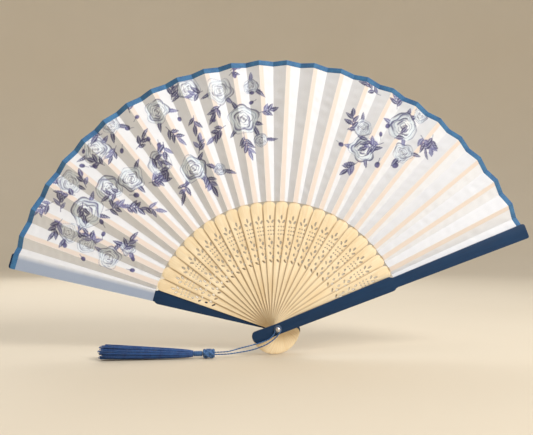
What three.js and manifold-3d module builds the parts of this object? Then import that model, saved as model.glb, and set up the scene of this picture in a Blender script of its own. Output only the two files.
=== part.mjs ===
// Folding hand fan: two guards, 23 pierced ribs, a pleated leaf, a rivet with two washers and a tassel.
// The fan is open in the XZ plane, seen from -Y. The rivet lies along Y through the origin, +Z is up.
import * as THREE from 'three';
import Module from 'manifold-3d';

const wasm = await Module();
wasm.setup();

// Overall sizes. Lengths are in mm and angles in degrees.
const RIB_COUNT = 23;
const FRONT_GUARD_ANGLE = 20.7; // counter-clockwise from +X, seen from the front
const PIVOT_STEP = 6.04; // between neighbouring blades when the fan is open
const LEAF_OUTER = 190; // rivet to the leaf's outer edge
const HEAD_REACH = 88.5; // rivet to the top of a rib's head
const BUTT_REACH = 18.5; // rivet to the end of the butts

// Ribs.
const RIB_THICK = 0.6;
const RIB_GAP = 0.15; // between neighbouring ribs in the stack
const HEAD_WIDTH = 9;
const PIERCED_WIDTH = 7.7; // the piercings are set out across this much of the head
const WAIST_WIDTH = 7.0; // at the rivet
const RIB_BUTT_WIDTH = 7.6;
const HEAD_ROUND = 3.4; // height of the head's rounded shoulders
const BUTT_ROUND = 3.2;
const SLIP_WIDTH = 3.2; // the narrow strip that the leaf is glued to
const SLIP_TIP_WIDTH = 2.6;
const SLIP_SHORT = 5; // from the slip's end to the leaf's outer edge
const SLIP_STEP = 0.3; // how far the slip's front is cut back

// Guards.
const GUARD_THICK = 2.2;
const GUARD_GAP = 0.15; // from a guard to the nearest rib
const GUARD_PAST = 1.5; // the tip stands past the leaf
const GUARD_WAIST = 7.2;
const GUARD_BUTT_WIDTH = 8.2;
const GUARD_SHOULDER_WIDTH = 10.2;
const GUARD_NECK_WIDTH = 7.4; // just above the shoulder
const GUARD_TIP_WIDTH = 10.8;
const GUARD_SHOULDER_RUN = 3.4; // length of the step from shoulder to neck
const GUARD_SHOULDER_EASE = 0.4; // how far the step's corner is eased
const GUARD_TIP_ROUND = 1.6;

// Leaf.
const LEAF_THICK = 0.25;
const LEAF_STAND_OFF = 0.05; // from the leaf to the slip behind it
const SEAM_GAP = 0.02; // from a gore's edge to its rib's centre line
const LEAF_START = 0.4; // from the heads' tops to the leaf's inner edge
const MOUNTAIN_FORWARD = 2.2; // mountain fold in front of its rib, at the outer edge
const VALLEY_BACK = 2.6; // valley fold behind its rib, at the outer edge
const MOUNTAIN_PAST = 0.35; // the mountain fold stands this far past the slip's edge
const GUARD_FOLD_PAST = 0.3; // the first gore folds this far past the rear guard's edge
const FRONT_INSET = 0.5; // the last gore's left fold, inside the front guard's edge
const FRONT_END = 1; // the last gore's end, inside the front guard's other edge

// Rivet and washers.
const PIN_RADIUS = 1.1;
const PIN_HOLE_CLEARANCE = 0.35;
const PIN_HEAD_RADIUS = 1.75;
const PIN_HEAD_HIGH = 1.2;
const PIN_NECK = 1.2; // room for the cord between front washer and head
const WASHER_RADIUS = 2.8;
const WASHER_THICK = 0.5;
const CONTACT_GAP = 0.03;
const WASHER_CLEARANCE = 0.15;

// Tassel.
const CORD_RADIUS = 0.45;
const LOOP_SLACK = 0.3; // between the cord's loop and the rivet's neck
const BEAD_LENGTH = 8.2;
const BEAD_RADIUS = 3.2;
const NECK_LENGTH = 6;
const NECK_RADIUS = 1.85;
const SKIRT_LENGTH = 63;
const SKIRT_TOP_RADIUS = 2.1;
const SKIRT_END_RADIUS = 4.9;
const TASSEL_START = 42.8; // rivet to the bead, along -X
const PIECE_GAP = 0.15; // between cord, bead, neck and skirt
const SKIRT_RISE = 2; // the skirt lies on the ground, so its middle rises as it widens
const STRAND_APART = 0.06; // half the gap between the strands on top of the rivet

// Derived sizes.
const RIB_PITCH = RIB_THICK + RIB_GAP;
const STACK_HALF = ((RIB_COUNT - 1) * RIB_PITCH + RIB_THICK) / 2;
const GUARD_INNER = STACK_HALF + GUARD_GAP;
const GUARD_OUTER = GUARD_INNER + GUARD_THICK;
const LEAF_INNER = HEAD_REACH + LEAF_START;
const SLIP_REACH = LEAF_OUTER - SLIP_SHORT;
const GUARD_REACH = LEAF_OUTER + GUARD_PAST;
const WASHER_OUTER = GUARD_OUTER + CONTACT_GAP + WASHER_THICK;
const CORD_Y = -(WASHER_OUTER + PIN_NECK / 2);
const LOOP_RADIUS = PIN_RADIUS + CORD_RADIUS + LOOP_SLACK;

/** A piercing through a rib's head: place below the head's top, place and size across, tilt. */
const piercing = (down, across, wide, high, tilt = 0) => ({ down, across, wide, high, tilt });

// Across and wide are shares of half the pierced width; down and high are in mm.
const TULIP = [
  piercing(11.8, 0, 0.3, 1.7),
  piercing(14.6, 0.55, 0.66, 0.9, -32),
  piercing(14.6, -0.55, 0.66, 0.9, 32),
];
const DOTS = [18.3, 21.2, 24.1].flatMap((down) => [0.54, 0, -0.54].map(
  (across) => piercing(down, across, 0.36, 1.0),
));
const UPPER_SPRIG = [
  piercing(27.4, 0.56, 0.34, 1.2),
  piercing(29.9, -0.05, 0.6, 1.4),
  piercing(32.6, 0.42, 0.62, 0.8, -30),
  piercing(32.7, -0.4, 0.6, 0.8, 28),
];
const LOWER_SPRIG = [
  piercing(37.8, 0.42, 0.36, 1.3),
  piercing(40.3, -0.16, 0.6, 1.4),
  piercing(43.0, 0.3, 0.74, 0.8, -34),
  piercing(43.4, -0.5, 0.36, 0.8, 30),
];
const PIERCINGS = [...TULIP, ...DOTS, ...UPPER_SPRIG, ...LOWER_SPRIG];
const CUT_SHARE = 0.45; // of a piercing's height is cut

/** Angle of a blade: 0 is the rear guard, 1 to RIB_COUNT the ribs, RIB_COUNT + 1 the front guard. */
const bladeAngle = (index) => FRONT_GUARD_ANGLE + (RIB_COUNT + 1 - index) * PIVOT_STEP;

/** Middle of a rib's thickness; rib 1 is at the back. */
const ribY = (index) => ((RIB_COUNT + 1) / 2 - index) * RIB_PITCH;

/** Points of an elliptic arc, from one angle to another. */
function arc(x, y, radiusX, radiusY, from, to, steps) {
  return Array.from({ length: steps + 1 }, (_, i) => {
    const angle = THREE.MathUtils.degToRad(from + ((to - from) * i) / steps);
    return new THREE.Vector2(x + radiusX * Math.cos(angle), y + radiusY * Math.sin(angle));
  });
}

/** The right half of an outline, mirrored to a closed one. */
function mirrored(half) {
  const left = half.filter((p) => p.x > 1e-6).reverse().map((p) => new THREE.Vector2(-p.x, p.y));
  return [...half, ...left];
}

/** A flat blade of the outline, between two depths, standing along +Z. */
function blade(outline, holes, front, rear) {
  const shape = new THREE.Shape(outline);
  shape.holes = holes.map((points) => new THREE.Path(points));
  const options = { depth: rear - front, bevelEnabled: false, steps: 1, curveSegments: 4 };
  const geometry = new THREE.ExtrudeGeometry(shape, options);
  geometry.rotateX(Math.PI / 2);
  geometry.translate(0, rear, 0);
  return geometry;
}

/** The geometry with its vertices shared, ready for the solid library. */
function welded(geometry) {
  const copy = geometry.clone();
  copy.deleteAttribute('normal');
  copy.deleteAttribute('uv');
  return mergeClose(copy);
}

/** An indexed copy whose vertices at one place are one vertex. */
function mergeClose(geometry) {
  const flat = geometry.index ? geometry.toNonIndexed() : geometry;
  const position = flat.getAttribute('position');
  const seen = new Map();
  const points = [];
  const index = [];
  for (let i = 0; i < position.count; i += 1) {
    const p = [position.getX(i), position.getY(i), position.getZ(i)];
    const key = p.map((value) => Math.round(value * 1e4)).join();
    if (!seen.has(key)) {
      seen.set(key, points.length / 3);
      points.push(...p);
    }
    index.push(seen.get(key));
  }
  const kept = [];
  for (let i = 0; i < index.length; i += 3) {
    const [a, b, c] = index.slice(i, i + 3);
    if (a !== b && b !== c && c !== a) {
      kept.push(a, b, c);
    }
  }
  const result = new THREE.BufferGeometry();
  result.setAttribute('position', new THREE.Float32BufferAttribute(points, 3));
  result.setIndex(kept);
  return result;
}

/** A solid made from a closed geometry. */
function solid(geometry) {
  const mesh = welded(geometry);
  const vertProperties = new Float32Array(mesh.getAttribute('position').array);
  const triVerts = new Uint32Array(mesh.index.array);
  return new wasm.Manifold(new wasm.Mesh({ numProp: 3, vertProperties, triVerts }));
}

/** The geometry of a solid. */
function geometryOf(body) {
  const mesh = body.getMesh();
  const points = [];
  for (let i = 0; i < mesh.vertProperties.length; i += mesh.numProp) {
    points.push(...mesh.vertProperties.slice(i, i + 3));
  }
  const geometry = new THREE.BufferGeometry();
  geometry.setAttribute('position', new THREE.Float32BufferAttribute(points, 3));
  geometry.setIndex(Array.from(mesh.triVerts));
  geometry.computeVertexNormals();
  return geometry;
}

/** Turns a blade that stands along +Z to its angle in the open fan. */
function turned(geometry, angle) {
  geometry.rotateY(THREE.MathUtils.degToRad(90 - angle));
  return geometry;
}

/** The four corners of one piercing, a slim tilted rectangle. */
function piercingOutline(hole) {
  const half = PIERCED_WIDTH / 2;
  const x = -hole.across * half;
  const y = HEAD_REACH - hole.down;
  const wide = (hole.wide * half) / 2;
  const high = (hole.high * CUT_SHARE) / 2;
  const tilt = THREE.MathUtils.degToRad(hole.tilt);
  const corners = [[-wide, -high], [wide, -high], [wide, high], [-wide, high]];
  return corners.map(([a, b]) => new THREE.Vector2(
    x + a * Math.cos(tilt) - b * Math.sin(tilt),
    y + a * Math.sin(tilt) + b * Math.cos(tilt),
  ));
}

/** The hole for the rivet. */
function pivotHole() {
  const radius = PIN_RADIUS + PIN_HOLE_CLEARANCE;
  return arc(0, 0, radius, radius, 0, 324, 9);
}

/** A rib standing along +Z, with its middle at depth 0. */
function plainRib() {
  const shoulderX = SLIP_WIDTH / 2;
  const reachX = HEAD_WIDTH / 2 - shoulderX;
  const half = [
    ...arc(0, BUTT_ROUND - BUTT_REACH, RIB_BUTT_WIDTH / 2, BUTT_ROUND, -90, 0, 3),
    new THREE.Vector2(WAIST_WIDTH / 2, 0),
    ...arc(shoulderX, HEAD_REACH - HEAD_ROUND, reachX, HEAD_ROUND, 0, 90, 3),
    new THREE.Vector2(SLIP_TIP_WIDTH / 2, SLIP_REACH),
  ];
  const full = solid(blade(mirrored(half), [pivotHole()], -RIB_THICK / 2, RIB_THICK / 2));
  const long = SLIP_REACH - HEAD_REACH + 2;
  const recess = new THREE.BoxGeometry(SLIP_WIDTH + 2, SLIP_STEP * 2, long);
  recess.translate(0, -RIB_THICK / 2, HEAD_REACH + long / 2);
  const cutters = PIERCINGS.map((hole) => blade(piercingOutline(hole), [], -RIB_THICK, RIB_THICK));
  return [recess, ...cutters].reduce((rib, cutter) => rib.subtract(solid(cutter)), full);
}

const standardRib = plainRib();

/** One rib with its middle at the given depth. */
const ribGeometry = (y) => geometryOf(standardRib.translate([0, y, 0]));

/** One guard, standing along +Z between two depths. */
function guardGeometry(front, rear) {
  const round = GUARD_TIP_ROUND;
  const half = [
    ...arc(0, BUTT_ROUND - BUTT_REACH, GUARD_BUTT_WIDTH / 2, BUTT_ROUND, -90, 0, 4),
    new THREE.Vector2(GUARD_WAIST / 2, 0),
    new THREE.Vector2(GUARD_SHOULDER_WIDTH / 2, HEAD_REACH - GUARD_SHOULDER_RUN),
    new THREE.Vector2(
      GUARD_SHOULDER_WIDTH / 2 - GUARD_SHOULDER_EASE,
      HEAD_REACH - GUARD_SHOULDER_RUN / 2,
    ),
    new THREE.Vector2(GUARD_NECK_WIDTH / 2, HEAD_REACH),
    ...arc(GUARD_TIP_WIDTH / 2 - round, GUARD_REACH - round, round, round, 0, 90, 3),
  ];
  return blade(mirrored(half), [pivotHole()], front, rear);
}

/** A point beside a radial line: along it, to its counter-clockwise side, and at a depth. */
function beside(angle, along, aside, y) {
  const a = THREE.MathUtils.degToRad(angle);
  const x = along * Math.cos(a) - aside * Math.sin(a);
  return [x, y, along * Math.sin(a) + aside * Math.cos(a)];
}

/** Half the leaf's covered width on a blade, at the leaf's inner or outer edge. */
const slipEdge = (outer) => (outer ? SLIP_TIP_WIDTH : SLIP_WIDTH) / 2 + MOUNTAIN_PAST;

/** Depth of the leaf's front surface where it passes a slip's right edge. */
const slipFront = (index) => ribY(index) - RIB_THICK / 2 + SLIP_STEP - LEAF_STAND_OFF - LEAF_THICK;

/** The folds that a rib gives the leaf at one edge: centre, mountain, slip's edge and valley. */
function ribFolds(index, along, outer) {
  const angle = bladeAngle(index);
  const share = along / LEAF_OUTER;
  const edge = slipEdge(outer);
  const mountainY = slipFront(index) - MOUNTAIN_FORWARD * share;
  const valleyY = slipFront(index) + VALLEY_BACK * share;
  const valleyAside = edge / 2 - along * Math.tan(THREE.MathUtils.degToRad(PIVOT_STEP / 2));
  const slope = (valleyY - mountainY) / (edge - valleyAside);
  const passY = Math.min(mountainY + slope * 2 * edge, slipFront(index));
  const centreY = (mountainY + passY) / 2;
  return {
    centreLeft: beside(angle, along, SEAM_GAP, centreY),
    centreRight: beside(angle, along, -SEAM_GAP, centreY),
    mountain: beside(angle, along, edge, mountainY),
    pass: beside(angle, along, -edge, passY),
    valley: beside(angle, along, valleyAside, valleyY),
  };
}

/** The gore's folds along one edge of the leaf, from the blade behind to the blade in front. */
function goreSection(index, along, outer) {
  const guardHalf = (outer ? GUARD_TIP_WIDTH : GUARD_NECK_WIDTH) / 2;
  const next = index < RIB_COUNT ? ribFolds(index + 1, along, outer) : null;
  if (index === 0) {
    const angle = bladeAngle(0);
    const overGuard = GUARD_INNER - LEAF_STAND_OFF - LEAF_THICK;
    const valleyY = slipFront(1) + VALLEY_BACK * (along / LEAF_OUTER);
    return [
      beside(angle, along, guardHalf, overGuard),
      beside(angle, along, -guardHalf - GUARD_FOLD_PAST, overGuard),
      beside(angle - PIVOT_STEP / 2, along, 0, valleyY),
      next.mountain,
      next.centreLeft,
    ];
  }
  const own = ribFolds(index, along, outer);
  if (next) {
    return [own.centreRight, own.pass, own.valley, next.mountain, next.centreLeft];
  }
  const guardAngle = bladeAngle(index + 1);
  const behindGuard = -GUARD_INNER + LEAF_STAND_OFF;
  return [
    own.centreRight,
    own.pass,
    own.valley,
    beside(guardAngle, along, guardHalf - FRONT_INSET, behindGuard),
    beside(guardAngle, along, FRONT_END - guardHalf, behindGuard),
  ];
}

/** One gore of the leaf between two blades, a thin closed sheet with one valley fold. */
function goreGeometry(index) {
  const inner = goreSection(index, LEAF_INNER, false);
  const outer = goreSection(index, LEAF_OUTER, true);
  const count = inner.length;
  const front = [...inner, ...outer];
  const points = [...front, ...front.map(([x, y, z]) => [x, y + LEAF_THICK, z])];
  const index3 = [];
  const quad = (a, b, c, d) => index3.push(a, b, c, a, c, d);
  const back = count * 2;
  for (let i = 0; i < count - 1; i += 1) {
    quad(i + 1, i, count + i, count + i + 1);
    quad(back + i, back + i + 1, back + count + i + 1, back + count + i);
    quad(i, i + 1, back + i + 1, back + i);
    quad(count + i + 1, count + i, back + count + i, back + count + i + 1);
  }
  quad(0, back, back + count, count);
  quad(count - 1, 2 * count - 1, back + 2 * count - 1, back + count - 1);
  const geometry = new THREE.BufferGeometry();
  geometry.setAttribute('position', new THREE.Float32BufferAttribute(points.flat(), 3));
  geometry.setIndex(index3);
  return facingOut(geometry);
}

/** The geometry with its triangles turned to face out. */
function facingOut(geometry) {
  const mesh = welded(geometry);
  const position = mesh.getAttribute('position');
  const index = Array.from(mesh.index.array);
  const [a, b, c] = [new THREE.Vector3(), new THREE.Vector3(), new THREE.Vector3()];
  let volume = 0;
  for (let i = 0; i < index.length; i += 3) {
    a.fromBufferAttribute(position, index[i]);
    b.fromBufferAttribute(position, index[i + 1]);
    c.fromBufferAttribute(position, index[i + 2]);
    volume += a.dot(b.cross(c));
  }
  if (volume < 0) {
    for (let i = 0; i < index.length; i += 3) {
      [index[i + 1], index[i + 2]] = [index[i + 2], index[i + 1]];
    }
    mesh.setIndex(index);
  }
  mesh.computeVertexNormals();
  return mesh;
}

/** A turned body about the Y axis, from a profile that is closed on the axis or is a ring. */
function turnedBody(profile, segments) {
  return facingOut(new THREE.LatheGeometry(profile.map(([r, y]) => new THREE.Vector2(r, y)), segments));
}

/** The rivet: a shaft with a domed head in front and a peened end behind. */
function pinGeometry() {
  const neck = -(WASHER_OUTER + PIN_NECK);
  const tail = WASHER_OUTER + CONTACT_GAP;
  return turnedBody([
    [0, neck - PIN_HEAD_HIGH],
    [PIN_HEAD_RADIUS * 0.55, neck - PIN_HEAD_HIGH * 0.86],
    [PIN_HEAD_RADIUS * 0.88, neck - PIN_HEAD_HIGH * 0.48],
    [PIN_HEAD_RADIUS, neck],
    [PIN_RADIUS, neck],
    [PIN_RADIUS, tail],
    [PIN_HEAD_RADIUS, tail],
    [PIN_HEAD_RADIUS * 0.8, tail + PIN_HEAD_HIGH * 0.5],
    [0, tail + PIN_HEAD_HIGH * 0.75],
  ], 14);
}

/** A washer between two depths. */
function washerGeometry(low, high) {
  const hole = PIN_RADIUS + WASHER_CLEARANCE;
  const ring = [[hole, low], [WASHER_RADIUS, low], [WASHER_RADIUS, high], [hole, high]];
  return turnedBody([...ring, ring[0]], 16);
}

/** A round cord through the points. */
function cordGeometry(points, steps) {
  const places = points.map((p) => new THREE.Vector3(...p));
  const path = new THREE.CatmullRomCurve3(places, false, 'centripetal');
  const shape = new THREE.Shape(arc(0, 0, CORD_RADIUS, CORD_RADIUS, 0, 315, 7));
  const options = { extrudePath: path, steps, bevelEnabled: false };
  return facingOut(new THREE.ExtrudeGeometry(shape, options));
}

const TASSEL_Z = BEAD_RADIUS - BUTT_REACH;
const LYING_Y = CORD_Y - 0.3;
const NECK_START = TASSEL_START + BEAD_LENGTH + PIECE_GAP;
const SKIRT_START = NECK_START + NECK_LENGTH + PIECE_GAP;

/** Points of the strand that passes the rivet's left side and runs on above the other. */
const upperStrand = () => [
  [-STRAND_APART, CORD_Y, LOOP_RADIUS],
  [-LOOP_RADIUS * 0.5, CORD_Y, LOOP_RADIUS * 0.87],
  [-LOOP_RADIUS, CORD_Y, 0],
  [-LOOP_RADIUS * 1.3, CORD_Y, -LOOP_RADIUS * 1.25],
  [-5.2, CORD_Y - 0.1, -5.8],
  [-11.6, CORD_Y - 0.2, -8.6],
  [-18.5, LYING_Y, -10.4],
  [-26, LYING_Y, -12.2],
  [-34, LYING_Y, TASSEL_Z + 1.1],
  [-TASSEL_START + PIECE_GAP, LYING_Y, TASSEL_Z + 0.7],
];

/** Points of the strand that goes round the rivet's right side and leaves below the other. */
const lowerStrand = () => [
  [STRAND_APART, CORD_Y, LOOP_RADIUS],
  [LOOP_RADIUS * 0.5, CORD_Y, LOOP_RADIUS * 0.87],
  [LOOP_RADIUS, CORD_Y, 0],
  [LOOP_RADIUS * 0.5, CORD_Y, -LOOP_RADIUS * 1.3],
  [-2.2, CORD_Y, -6.1],
  [-7.6, CORD_Y, -9.8],
  [-13.8, CORD_Y - 0.1, -12.3],
  [-20, LYING_Y, -13.9],
  [-27, LYING_Y, -15],
  [-34, LYING_Y, TASSEL_Z - 0.6],
  [-TASSEL_START + PIECE_GAP, LYING_Y, TASSEL_Z - 0.7],
];

/** A turned piece of the tassel: its profile runs along -X from the given start. */
function tasselPiece(profile, start, rise) {
  const geometry = turnedBody(profile, 12);
  geometry.rotateZ(Math.PI / 2);
  geometry.rotateY(THREE.MathUtils.degToRad(rise));
  geometry.translate(-start, LYING_Y, TASSEL_Z);
  return geometry;
}

/** The bead that the cord is knotted into. */
const beadGeometry = () => tasselPiece([
  [0, 0],
  [BEAD_RADIUS * 0.62, BEAD_LENGTH * 0.04],
  [BEAD_RADIUS * 0.93, BEAD_LENGTH * 0.22],
  [BEAD_RADIUS, BEAD_LENGTH * 0.5],
  [BEAD_RADIUS * 0.93, BEAD_LENGTH * 0.78],
  [BEAD_RADIUS * 0.62, BEAD_LENGTH * 0.96],
  [0, BEAD_LENGTH],
], TASSEL_START, 0);

/** The bound neck of the tassel. */
const neckGeometry = () => tasselPiece([
  [0, 0],
  [NECK_RADIUS, 0.1],
  [NECK_RADIUS, NECK_LENGTH],
  [0, NECK_LENGTH],
], NECK_START, 0);

/** The skirt of threads. */
const skirtGeometry = () => tasselPiece([
  [0, 0],
  [SKIRT_TOP_RADIUS, 0.3],
  [SKIRT_TOP_RADIUS + (SKIRT_END_RADIUS - SKIRT_TOP_RADIUS) * 0.6, SKIRT_LENGTH * 0.3],
  [SKIRT_END_RADIUS, SKIRT_LENGTH * 0.75],
  [SKIRT_END_RADIUS * 0.96, SKIRT_LENGTH],
  [0, SKIRT_LENGTH],
], SKIRT_START, SKIRT_RISE);

/** One material for each kind of surface. */
const finishes = {
  bamboo: { color: 0xf3e2bd, roughness: 0.6, metalness: 0 },
  guard: { color: 0x22395c, roughness: 0.38, metalness: 0 },
  leaf: { color: 0xf4f3f1, roughness: 0.75, metalness: 0 },
  steel: { color: 0xc9ccd0, roughness: 0.3, metalness: 0.9 },
  washer: { color: 0x55585c, roughness: 0.45, metalness: 0.8 },
  cord: { color: 0x21507f, roughness: 0.8, metalness: 0 },
  thread: { color: 0x1e4b8c, roughness: 0.7, metalness: 0 },
};

const fan = new THREE.Group();
fan.name = 'folding_fan';

/** Adds a named piece with a material of its own. */
function add(name, geometry, finish) {
  const mesh = new THREE.Mesh(geometry, new THREE.MeshStandardMaterial(finishes[finish]));
  mesh.name = name;
  fan.add(mesh);
}

const numbered = (name, index) => `${name}_${String(index).padStart(2, '0')}`;

const frontGuard = facingOut(guardGeometry(-GUARD_OUTER, -GUARD_INNER));
const rearGuard = facingOut(guardGeometry(GUARD_INNER, GUARD_OUTER));
add('front_guard', turned(frontGuard, bladeAngle(RIB_COUNT + 1)), 'guard');
add('rear_guard', turned(rearGuard, bladeAngle(0)), 'guard');
for (let index = 1; index <= RIB_COUNT; index += 1) {
  add(numbered('rib', index), turned(ribGeometry(ribY(index)), bladeAngle(index)), 'bamboo');
}
for (let index = 0; index <= RIB_COUNT; index += 1) {
  add(numbered('leaf_gore', index + 1), goreGeometry(index), 'leaf');
}
add('rivet_pin', pinGeometry(), 'steel');
add('front_washer', washerGeometry(-WASHER_OUTER, -GUARD_OUTER - CONTACT_GAP), 'washer');
add('rear_washer', washerGeometry(GUARD_OUTER + CONTACT_GAP, WASHER_OUTER), 'washer');
add('tassel_cord_upper', cordGeometry(upperStrand(), 28), 'cord');
add('tassel_cord_lower', cordGeometry(lowerStrand(), 30), 'cord');
add('tassel_bead', beadGeometry(), 'cord');
add('tassel_neck', neckGeometry(), 'cord');
add('tassel_skirt', skirtGeometry(), 'thread');

export default fan;
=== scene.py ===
"""A folding hand fan: pierced bamboo ribs, lacquered guards, a pleated printed silk leaf and a tassel.

The open fan stands in the XZ plane and faces -Y. The rivet lies along Y through the origin, +Z is up.
Sizes are held in millimetres and turned to metres where a mesh is made.
"""

import logging
import math
from collections.abc import Callable, Iterator, Sequence
from contextlib import contextmanager
from dataclasses import dataclass, field
from enum import Enum

import bpy
import numpy as np
from mathutils import Matrix, Vector


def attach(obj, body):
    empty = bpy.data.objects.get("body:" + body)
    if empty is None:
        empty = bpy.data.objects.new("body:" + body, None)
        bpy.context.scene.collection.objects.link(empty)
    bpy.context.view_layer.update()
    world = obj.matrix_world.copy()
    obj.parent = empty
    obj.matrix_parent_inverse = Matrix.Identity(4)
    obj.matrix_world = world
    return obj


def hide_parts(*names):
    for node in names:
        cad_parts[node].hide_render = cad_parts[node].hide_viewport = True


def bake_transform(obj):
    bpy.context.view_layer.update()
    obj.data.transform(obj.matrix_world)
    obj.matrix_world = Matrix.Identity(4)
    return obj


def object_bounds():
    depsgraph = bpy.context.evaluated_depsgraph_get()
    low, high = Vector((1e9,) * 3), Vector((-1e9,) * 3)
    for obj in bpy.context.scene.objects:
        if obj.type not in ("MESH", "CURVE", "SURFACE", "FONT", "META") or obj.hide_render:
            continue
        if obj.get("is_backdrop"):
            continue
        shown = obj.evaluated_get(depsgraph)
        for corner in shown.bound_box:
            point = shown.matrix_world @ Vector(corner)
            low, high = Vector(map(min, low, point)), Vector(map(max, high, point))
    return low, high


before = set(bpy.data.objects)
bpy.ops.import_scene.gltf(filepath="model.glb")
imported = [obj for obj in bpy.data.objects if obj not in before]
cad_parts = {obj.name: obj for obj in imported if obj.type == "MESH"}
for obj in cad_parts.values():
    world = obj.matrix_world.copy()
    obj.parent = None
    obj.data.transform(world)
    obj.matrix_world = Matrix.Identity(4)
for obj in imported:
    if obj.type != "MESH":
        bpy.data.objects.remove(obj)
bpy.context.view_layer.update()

LOG = logging.getLogger("fan")
MM = 0.001
GOLDEN_TURN = 2.39996  # radians between neighbouring threads of a bundle

Point = tuple[float, float, float]


class Body(Enum):
    """The two bodies at the ends of the fold."""

    FRONT = "front_guard"
    REAR = "rear_guard"


class Slot(Enum):
    """The record's finishes."""

    BAMBOO = "bamboo"
    GUARD = "painted_guard"
    SILK = "leaf_silk"
    RIVET = "rivet_steel"
    WASHER = "washer_steel"
    CORD = "cord"
    THREAD = "thread"


@dataclass(frozen=True)
class Layout:
    """The sizes that the fan's parts share, in mm and degrees."""

    ribs: int = 23
    front_angle: float = 20.7
    step: float = 6.04
    leaf_outer: float = 190.0
    leaf_inner: float = 88.9
    head_reach: float = 88.5
    butt_reach: float = 18.5
    rib_thick: float = 0.6
    rib_pitch: float = 0.75
    slip_step: float = 0.3
    slip_reach: float = 185.0
    slip_half: float = 1.6
    slip_tip_half: float = 1.3
    stand_off: float = 0.3
    mountain_forward: float = 2.2
    valley_back: float = 2.6
    mountain_past: float = 0.35
    guard_inner: float = 8.7
    guard_outer: float = 10.9
    guard_neck_half: float = 3.7
    guard_tip_half: float = 5.4
    silk_thick: float = 0.15
    washer_outer: float = 11.43
    pin_hole: float = 1.45

    def angle(self, index: int) -> float:
        """Angle of a blade from +X: 0 is the rear guard, the last the front guard."""
        return self.front_angle + (self.ribs + 1 - index) * self.step

    def depth(self, index: int) -> float:
        """Middle of a rib's thickness; rib 1 is at the back."""
        return ((self.ribs + 1) / 2 - index) * self.rib_pitch

    def body(self, index: int) -> str:
        """Name of the body that a blade belongs to.

        Args:
            index: the blade's number, 0 for the rear guard.

        Returns:
            The body's name.
        """
        if index == 0:
            return Body.REAR.value
        return Body.FRONT.value if index > self.ribs else f"rib_{index:02d}"

    def turn(self, index: int) -> Matrix:
        """The turn from standing along +Z to the blade's angle in the open fan."""
        return Matrix.Rotation(math.radians(90 - self.angle(index)), 4, "Y")

    def beside(self, angle: float, along: float, aside: float, depth: float) -> Point:
        """A point beside a radial line.

        Args:
            angle: the line's angle in degrees.
            along: distance from the rivet.
            aside: distance to the line's counter-clockwise side.
            depth: distance behind the fan's middle.

        Returns:
            The point in mm.
        """
        a = math.radians(angle)
        return (
            along * math.cos(a) - aside * math.sin(a),
            depth,
            along * math.sin(a) + aside * math.cos(a),
        )

    def edge(self, outer: bool) -> float:
        """How far the mountain fold stands beside the rib's centre line."""
        return (self.slip_tip_half if outer else self.slip_half) + self.mountain_past


@dataclass(frozen=True)
class Pleat:
    """The leaf's folds at one rib, at one distance from the rivet."""

    mountain: float
    valley: float
    valley_aside: float
    slope: float
    passing: float
    edge: float

    @classmethod
    def at(cls, lay: Layout, along: float, outer: bool) -> "Pleat":
        """Works out the folds, with depths measured from the slip's front.

        Args:
            lay: the shared sizes.
            along: distance from the rivet.
            outer: whether the leaf's outer edge sets the width of the slip.

        Returns:
            The folds at that distance.
        """
        share = along / lay.leaf_outer
        edge = lay.edge(outer)
        mountain = -lay.mountain_forward * share
        valley = lay.valley_back * share
        aside = edge / 2 - along * math.tan(math.radians(lay.step / 2))
        slope = (valley - mountain) / (edge - aside)
        passing = min(mountain + slope * 2 * edge, 0.0)
        return cls(mountain, valley, aside, slope, passing, edge)


def metres(points: Sequence[Sequence[float]] | np.ndarray) -> np.ndarray:
    """The points, given in mm, in metres."""
    return np.asarray(points, float) * MM


def smooth(low: float, high: float, value: np.ndarray) -> np.ndarray:
    """A soft step from 0 at low to 1 at high; low may be the larger."""
    t = np.clip((value - low) / (high - low), 0, 1)
    return t * t * (3 - 2 * t)


# ---------------------------------------------------------------- modelling


def pick(obj: bpy.types.Object) -> None:
    """Makes an object the only selected one and the active one.

    Args:
        obj: the object.
    """
    bpy.ops.object.select_all(action="DESELECT")
    obj.select_set(True)
    bpy.context.view_layer.objects.active = obj


def new_piece(name: str) -> bpy.types.Object:
    """Names the primitive that was just added.

    Args:
        name: the name of the object and its mesh.

    Returns:
        The object.
    """
    obj = bpy.context.object
    obj.name = name
    obj.data.name = name
    return obj


def settle(obj: bpy.types.Object) -> None:
    """Moves an object's place, turn and size into its mesh."""
    pick(obj)
    bpy.ops.object.transform_apply(location=True, rotation=True, scale=True)


@contextmanager
def editing(obj: bpy.types.Object, kind: str = "VERT") -> Iterator[None]:
    """Edit mode on one object, with a kind of element to select.

    Args:
        obj: the object.
        kind: VERT, EDGE or FACE.

    Yields:
        Nothing; edit mode ends with the block.
    """
    pick(obj)
    bpy.ops.object.mode_set(mode="EDIT")
    bpy.ops.mesh.select_mode(type=kind)
    try:
        yield
    finally:
        bpy.ops.object.mode_set(mode="OBJECT")


def face_out(obj: bpy.types.Object) -> None:
    """Merges doubles and turns all faces outwards.

    Args:
        obj: the object.
    """
    with editing(obj):
        bpy.ops.mesh.select_all(action="SELECT")
        bpy.ops.mesh.remove_doubles(threshold=1e-6)
        bpy.ops.mesh.normals_make_consistent(inside=False)


def finish_with(obj: bpy.types.Object, kind: str, **settings: object) -> None:
    """Adds a modifier with its settings and applies it.

    Args:
        obj: the object.
        kind: the type of modifier.
        settings: properties of the modifier, by name.
    """
    pick(obj)
    modifier = obj.modifiers.new(kind.title(), kind)
    for key, value in settings.items():
        setattr(modifier, key, value)
    bpy.ops.object.modifier_apply(modifier=modifier.name)


def soften(obj: bpy.types.Object, degrees: float = 32) -> None:
    """Shades smooth over edges that turn less than the angle."""
    pick(obj)
    bpy.ops.object.shade_smooth_by_angle(angle=math.radians(degrees))


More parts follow.
